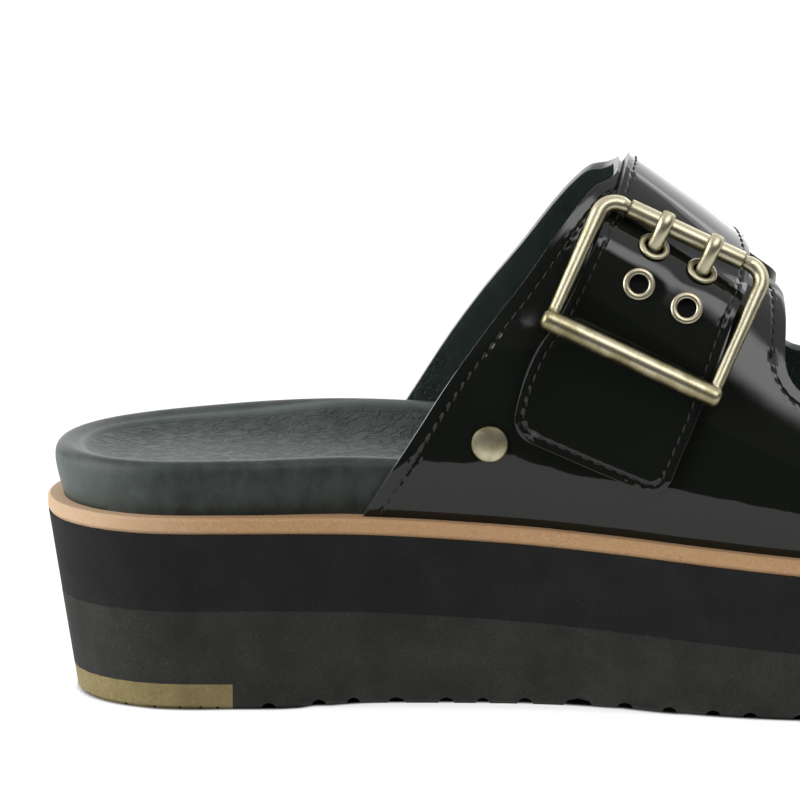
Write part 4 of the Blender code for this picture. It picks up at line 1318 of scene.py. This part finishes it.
def round_bar(radius, half, height):
    """A cylinder along X with its two ends selected for editing."""
    bar = new_piece(bpy.ops.mesh.primitive_cylinder_add, vertices=40, radius=radius * MM,
                    depth=2.0 * half * MM, location=(0.0, height * MM, 0.0),
                    rotation=(0.0, math.pi / 2.0, 0.0))
    apply_place()
    pick_faces(bar, lambda centre, normal: abs(normal.x) > SQUARELY)
    return bar


def cast_frame(band):
    matrix, half, height, length = BUCKLES[band]
    bar = round_bar(BAR_RADIUS, half + BAR_OVERRUN, 0.0)
    bpy.ops.mesh.bevel(offset=BAR_END_ROUND * MM, segments=6, affect="EDGES")
    end_edit()
    buckle = wire_half(half, height, length)
    bar.select_set(True)
    bpy.ops.object.join()
    buckle.name = f"buckle_{band}_frame"
    cast = buckle.modifiers.new("cast", "REMESH")
    cast.mode = "VOXEL"
    cast.voxel_size = CAST_VOXEL * MM
    fillet = buckle.modifiers.new("fillet", "SMOOTH")
    fillet.factor = 0.5
    fillet.iterations = 4
    apply_modifiers(buckle)
    points = vertex_array(buckle) / MM
    on_bar = points[:, 1] < BAR_RADIUS + BAR_MARGIN
    store(buckle, "brush_mm", np.where(on_bar, points[:, 0], points[:, 1] + WIRE_LINES))
    store_polish_and_light(buckle, UPWARD, np.where(on_bar, 0.0, EXTRA_PALENESS))
    put_in_place(buckle, matrix)
    bpy.ops.object.shade_smooth()
    buckle.data.materials.append(BRASS)
    settle(buckle, "antique_brass", f"buckle_{band}")


for band in BUCKLES:
    cast_frame(band)

# %% [markdown]
# ## Rollers and prongs
# The roller is a rolled tube that turns on the axle, so its ends are cut square with a broken
# edge. The prongs are bent flat pins. Their CAD solids already follow the bend from the hidden
# bar through the eyelet and over the roller, so copies of them are fattened a little, which makes
# up for what smoothing takes off, and smoothed.

# %% Rollers
ROLLER_EDGE = 0.3
ROLLER_RIM = 0.4


def turn_roller(band):
    matrix, _, height, length = BUCKLES[band]
    roller = round_bar(ROLLER_RADIUS, length, height)
    roller.name = f"roller_{band}_tube"
    bpy.ops.mesh.bevel(offset=ROLLER_EDGE * MM, segments=3, affect="EDGES")
    bpy.ops.mesh.inset(thickness=ROLLER_RIM * MM)
    end_edit()
    store(roller, "brush_mm", vertex_array(roller)[:, 0] / MM + ROLLER_LINES)
    store_polish_and_light(roller, UPWARD, EXTRA_PALENESS)
    put_in_place(roller, matrix)
    shade_rounded(40)
    roller.data.materials.append(BRASS)
    settle(roller, "antique_brass", f"roller_{band}")


for band in BUCKLES:
    turn_roller(band)

# %% Prongs
PRONG_FATTEN = 0.25


def smooth_prong(band, k):
    node = f"prong_{band}_{k}"
    prong = copy_of(node, node + "_pin")
    start_edit(prong)
    bpy.ops.transform.shrink_fatten(value=PRONG_FATTEN * MM)
    end_edit()
    subdivide(prong, 2)
    bpy.ops.object.shade_smooth()
    matrix = BUCKLES[band][0]
    along, outward = (np.array(matrix.col[i][:3]) for i in (1, 2))
    store(prong, "brush_mm", vertex_array(prong) @ along / MM)
    store_polish_and_light(prong, outward, EXTRA_PALENESS)
    prong.data.materials.append(BRASS)
    settle(prong, "antique_brass", node)


for band in BUCKLES:
    for k in (1, 2):
        smooth_prong(band, k)

# %% [markdown]
# ## Eyelets and side disc
# An eyelet is a short brass tube with its upper end rolled out over the leather. A torus gives
# the rolled end and a thin tube its barrel, closed below by a dark disc, the shaded leather that
# shows in the hole. It is modelled once and copied to each measured place. The disc on the outer
# side is a plain rivet head with a slightly sunk face.

# %% Eyelets
EYELET_RING = 3.05
EYELET_ROLL = 0.80
EYELET_BARREL = 2.35
EYELET_FLATNESS = 0.6
EYELET_LIFT = 0.35
BARREL_TOP = 0.4
BARREL_LENGTH = 2.1
BARREL_WALL = 0.3
SHADE_BELOW = -1.2
BRUSH_PER_DEGREE = 0.06


def rolled_eyelet():
    """One eyelet at the origin, its rolled end on top."""
    ring = new_piece(bpy.ops.mesh.primitive_torus_add, major_segments=40, minor_segments=12,
                     major_radius=EYELET_RING * MM, minor_radius=EYELET_ROLL * MM)
    start_edit(ring)
    bpy.ops.transform.resize(value=(1.0, 1.0, EYELET_FLATNESS))
    bpy.ops.transform.translate(value=(0.0, 0.0, EYELET_LIFT * MM))
    end_edit()
    barrel = new_piece(bpy.ops.mesh.primitive_circle_add, vertices=40,
                       radius=EYELET_BARREL * MM, location=(0.0, 0.0, BARREL_TOP * MM))
    start_edit(barrel)
    down = (0.0, 0.0, -BARREL_LENGTH * MM)
    bpy.ops.mesh.extrude_region_move(TRANSFORM_OT_translate={"value": down})
    bpy.ops.mesh.edge_face_add()
    bpy.ops.mesh.select_all(action="SELECT")
    bpy.ops.mesh.normals_make_consistent(inside=False)
    end_edit()
    wall = barrel.modifiers.new("wall", "SOLIDIFY")
    wall.thickness = BARREL_WALL * MM
    wall.offset = 1.0
    apply_modifiers(barrel)
    ring.select_set(True)
    bpy.context.view_layer.objects.active = ring
    bpy.ops.object.join()
    apply_place()
    bpy.ops.object.shade_smooth()
    round_ring = np.degrees(np.arctan2(*vertex_array(ring)[:, :2].T))
    store(ring, "brush_mm", round_ring * BRUSH_PER_DEGREE)
    store_polish_and_light(ring, UPWARD, EXTRA_PALENESS)
    ring.data.materials.append(BRASS)
    ring.data.materials.append(HOLE_SHADE)
    for face in ring.data.polygons:
        if face.center.z < SHADE_BELOW * MM and abs(face.normal.z) > SQUARELY:
            face.material_index = 1
            face.use_smooth = False
    return ring


pattern = rolled_eyelet()
for node, matrix in eyelet_places.items():
    select_only(pattern)
    bpy.ops.object.duplicate()
    eyelet = bpy.context.active_object
    eyelet.name = node + "_ring"
    put_in_place(eyelet, matrix)
    settle(eyelet, "antique_brass", node)
bpy.data.objects.remove(pattern, do_unlink=True)

# %% Side disc
DISC_RADIUS = 4.35
DISC_HEIGHT = 1.2
DISC_EDGE = 0.4
DISC_RIM = 0.35
DISC_SINK = 0.12
DISC_LINES = 1.5

middle, spread = node_axes("side_stud")
outward = outward_from_foot(middle, spread[2])
across = np.cross((0.0, 0.0, 1.0), outward)
disc = new_piece(bpy.ops.mesh.primitive_cylinder_add, vertices=64, radius=DISC_RADIUS * MM,
                 depth=DISC_HEIGHT * MM)
disc.name = "side_disc"
pick_faces(disc, lambda centre, normal: normal.z > SQUARELY)
bpy.ops.mesh.bevel(offset=DISC_EDGE * MM, segments=4, affect="EDGES")
bpy.ops.mesh.inset(thickness=DISC_RIM * MM)
bpy.ops.transform.translate(value=(0.0, 0.0, -DISC_SINK * MM))
end_edit()
store(disc, "brush_mm", vertex_array(disc)[:, 0] / MM * DISC_LINES)
store_polish_and_light(disc, UPWARD)
put_in_place(disc, place_matrix(middle, across / np.linalg.norm(across), outward))
shade_rounded(40)
disc.data.materials.append(BRASS)
settle(disc, "antique_brass", "side_stud")

# %% [markdown]
# ## Floor, light and camera
# A white studio: the floor is a back-lit white table, so it stays white round the sandal. Under
# the sole its glow is cut off, a painted shadow, so the notches of the tread stay dark. How far
# in the painted shadow reaches follows from the gap under the tread and from the angle at which
# the camera looks under it. A wide soft light hangs overhead, bright panels stand far behind and
# on both sides, and a softbox with faded edges in front to the right. The rest of the room is
# dark, which is what makes the lacquer look black, and a low dark card in front ends the table's
# mirror image on the upper. The camera sees neither panels nor card, only their reflections. It
# looks straight at the outer side from 11 degrees above, far away with a long lens, so the sole's
# lines stay nearly parallel.

# %% Floor
TABLE_GLOW = 0.84
ELEVATION = math.radians(11.0)
LOOK_UNDER = math.tan(ELEVATION)
# The table is a fine grid under the sandal, in metres, and one wide border
FINE_LENGTH = 0.32
FINE_WIDTH = 0.128
FINE_CELL = 0.001
BORDER_SCALE = (45.0, 110.0, 1.0)
# The tread is measured from its lowest part, at marks along the shoe, in millimetres
TREAD_HEIGHT = 6.0
TREAD_MARKS = 66
MARK_REACH = 7.0
TOUCHING = 0.6
# From the first to the second, in mm past the line of sight under the tread, the painted shadow
# comes in
LIT_UNTIL = -2.0
DARK_FROM = 0.2

floor_finish, floor_tree, floor_shader, _ = new_finish("back_lit_table_with_painted_shadow")
# The table's glow, with a painted shadow under the sole
glow_and_painted_shadow = add_node(floor_tree, ATTRIBUTE, {}, attribute_name="glow_and_painted_shadow").outputs["Fac"]
fill_sockets(floor_tree, floor_shader, {
    "Emission Strength": glow_and_painted_shadow, "Emission Color": colour("#ffffff"), "Base Color": colour("#7c7c7b"),
    "Roughness": 0.9, "Specular IOR Level": 0.0})
floor = flat_grid("studio_floor", round(FINE_LENGTH / FINE_CELL), round(FINE_WIDTH / FINE_CELL))
start_edit(floor)
bpy.ops.transform.resize(value=(FINE_LENGTH, FINE_WIDTH, 1.0))
bpy.ops.mesh.region_to_loop()
bpy.ops.mesh.extrude_edges_move()
bpy.ops.transform.resize(value=BORDER_SCALE)
end_edit()
tread = np.vstack([vertex_array(outsole), vertex_array(heel_tip)]) / MM
tread = tread[tread[:, 2] < TREAD_HEIGHT]
tread_inset = rim_depth(tread * MM)
marks = np.linspace(tread[:, 0].min(), tread[:, 0].max(), TREAD_MARKS)
spots = vertex_array(floor)
reach = rim_depth(spots)
for side in (-1.0, 1.0):
    gap, inset = [], []
    for mark in marks:
        near = (np.abs(tread[:, 0] - mark) < MARK_REACH) & (tread[:, 1] * side > 0.0)
        gap.append(tread[near, 2].min())
        inset.append(tread_inset[near & (tread[:, 2] < gap[-1] + TOUCHING)].min())
    here = np.where(spots[:, 1] < 0.0, -1.0, 1.0) == side
    along = spots[here, 0] / MM
    reach[here] -= np.interp(along, marks, inset) + np.interp(along, marks, gap) / LOOK_UNDER
    print("side", side, "widest gap", round(max(gap), 1), "mm")
# Cut the glow off under the sole: a painted shadow
store(floor, "glow_and_painted_shadow", TABLE_GLOW * (1.0 - smooth_step(LIT_UNTIL, DARK_FROM, reach)))
floor.data.materials.append(floor_finish)
print("floor", [round(v, 1) for v in floor.dimensions[:2]], "m")

# %% Dark card
CARD_WIDTH = 4.0
CARD_HEIGHT = 0.12
CARD_IN_FRONT = 0.27

card_finish, card_tree, card_shader, _ = new_finish("matte_black_card")
fill_sockets(card_tree, card_shader, {"Base Color": colour("#000000"), "Specular IOR Level": 0.0})
card = new_piece(bpy.ops.mesh.primitive_plane_add, size=1.0,
                 location=(0.0, -CARD_IN_FRONT, CARD_HEIGHT / 2.0),
                 rotation=(math.pi / 2.0, 0.0, 0.0))
card.name = "dark_card"
card.scale = (CARD_WIDTH, CARD_HEIGHT, 1.0)
apply_place()
card.data.materials.append(card_finish)
card.visible_camera = False
card.visible_diffuse = False
card.visible_shadow = False
print("card", [round(v, 2) for v in card.dimensions])

# %% Lights
SOFTBOX_CORE = 0.35
# Name, place, the point it faces, width and height in metres, brightness
PANELS = (
    ("overhead_light", (0.4, 0.7, 2.1), (0.4, 0.7, 0.0), 4.2, 3.6, 0.9),
    ("back_panel", (0.0, 2.6, 1.2), (0.0, 0.0, 0.4), 5.0, 2.4, 2.2),
    ("heel_side_panel", (-1.6, -0.30, 0.72), (-0.05, 0.0, 0.05), 2.2, 1.4, 5.6),
    ("toe_side_panel", (2.2, 1.0, 1.0), (0.0, 0.0, 0.1), 2.4, 2.0, 1.2),
    ("front_softbox", (0.66, -1.14, 1.36), (0.02, -0.03, 0.10), 1.85, 1.0, 4.8),
)


def soft_panel(name, place, aim, width, height, brightness):
    """A rectangular soft light that faces a point, its brightness compared to white paper."""
    bpy.ops.object.light_add(type="AREA", location=place)
    lamp = bpy.context.active_object
    lamp.name = name
    lamp.data.shape = "RECTANGLE"
    lamp.data.size = width
    lamp.data.size_y = height
    lamp.data.energy = brightness * math.pi * width * height
    lamp.rotation_euler = (Vector(aim) - Vector(place)).to_track_quat("-Z", "Y").to_euler()
    lamp.visible_camera = False
    return lamp


def fade_edges(lamp, core):
    """Let a panel fade from its core to its edges, as a softbox with one lamp inside does."""
    lamp.data.use_nodes = True
    tree = lamp.data.node_tree
    place = add_node(tree, "ShaderNodeNewGeometry", {}).outputs["Parametric"]
    sides = add_node(tree, SPLIT, {"Vector": place}).outputs
    shares = []
    for side in ("X", "Y"):
        off = add_node(tree, MATH, {0: sides[side], 1: 0.5}, operation="SUBTRACT")
        away = add_node(tree, MATH, {0: off}, operation="ABSOLUTE")
        shares.append(add_node(tree, RANGE, {"Value": away, "From Min": core / 2.0,
                                             "From Max": 0.5, "To Min": 1.0, "To Max": 0.0},
                               interpolation_type="SMOOTHSTEP"))
    both = add_node(tree, MATH, {0: shares[0], 1: shares[1]}, operation="MULTIPLY")
    fill_sockets(tree, tree.nodes["Emission"], {"Strength": both})


lamps = {panel[0]: soft_panel(*panel) for panel in PANELS}
fade_edges(lamps["front_softbox"], SOFTBOX_CORE)

world = bpy.data.worlds.new("dim_studio")
bpy.context.scene.world = world
world.use_nodes = True
fill_sockets(world.node_tree, world.node_tree.nodes["Background"],
             {"Color": colour("#f4f4f4"), "Strength": 0.06})
print("lights:", ", ".join(lamps))

# %% Camera
TARGET = (-0.0462, -0.038, 0.0776)
DISTANCE = 1.5
SENSOR_WIDTH = 36.0
# The photograph is 800 pixels wide and shows 4.25 of them per millimetre at the target
PHOTO_WIDTH = 800.0
PIXELS_PER_MM = 4.25

back = DISTANCE * math.cos(ELEVATION)
rise = DISTANCE * math.sin(ELEVATION)
bpy.ops.object.camera_add(location=(TARGET[0], TARGET[1] - back, TARGET[2] + rise),
                          rotation=(math.pi / 2.0 - ELEVATION, 0.0, 0.0))
camera = bpy.context.active_object
camera.data.sensor_width = SENSOR_WIDTH
camera.data.lens = SENSOR_WIDTH * PIXELS_PER_MM * DISTANCE / MM / PHOTO_WIDTH
bpy.context.scene.camera = camera
bpy.context.scene.view_settings.view_transform = "Standard"
print("lens", round(camera.data.lens, 1), "mm")
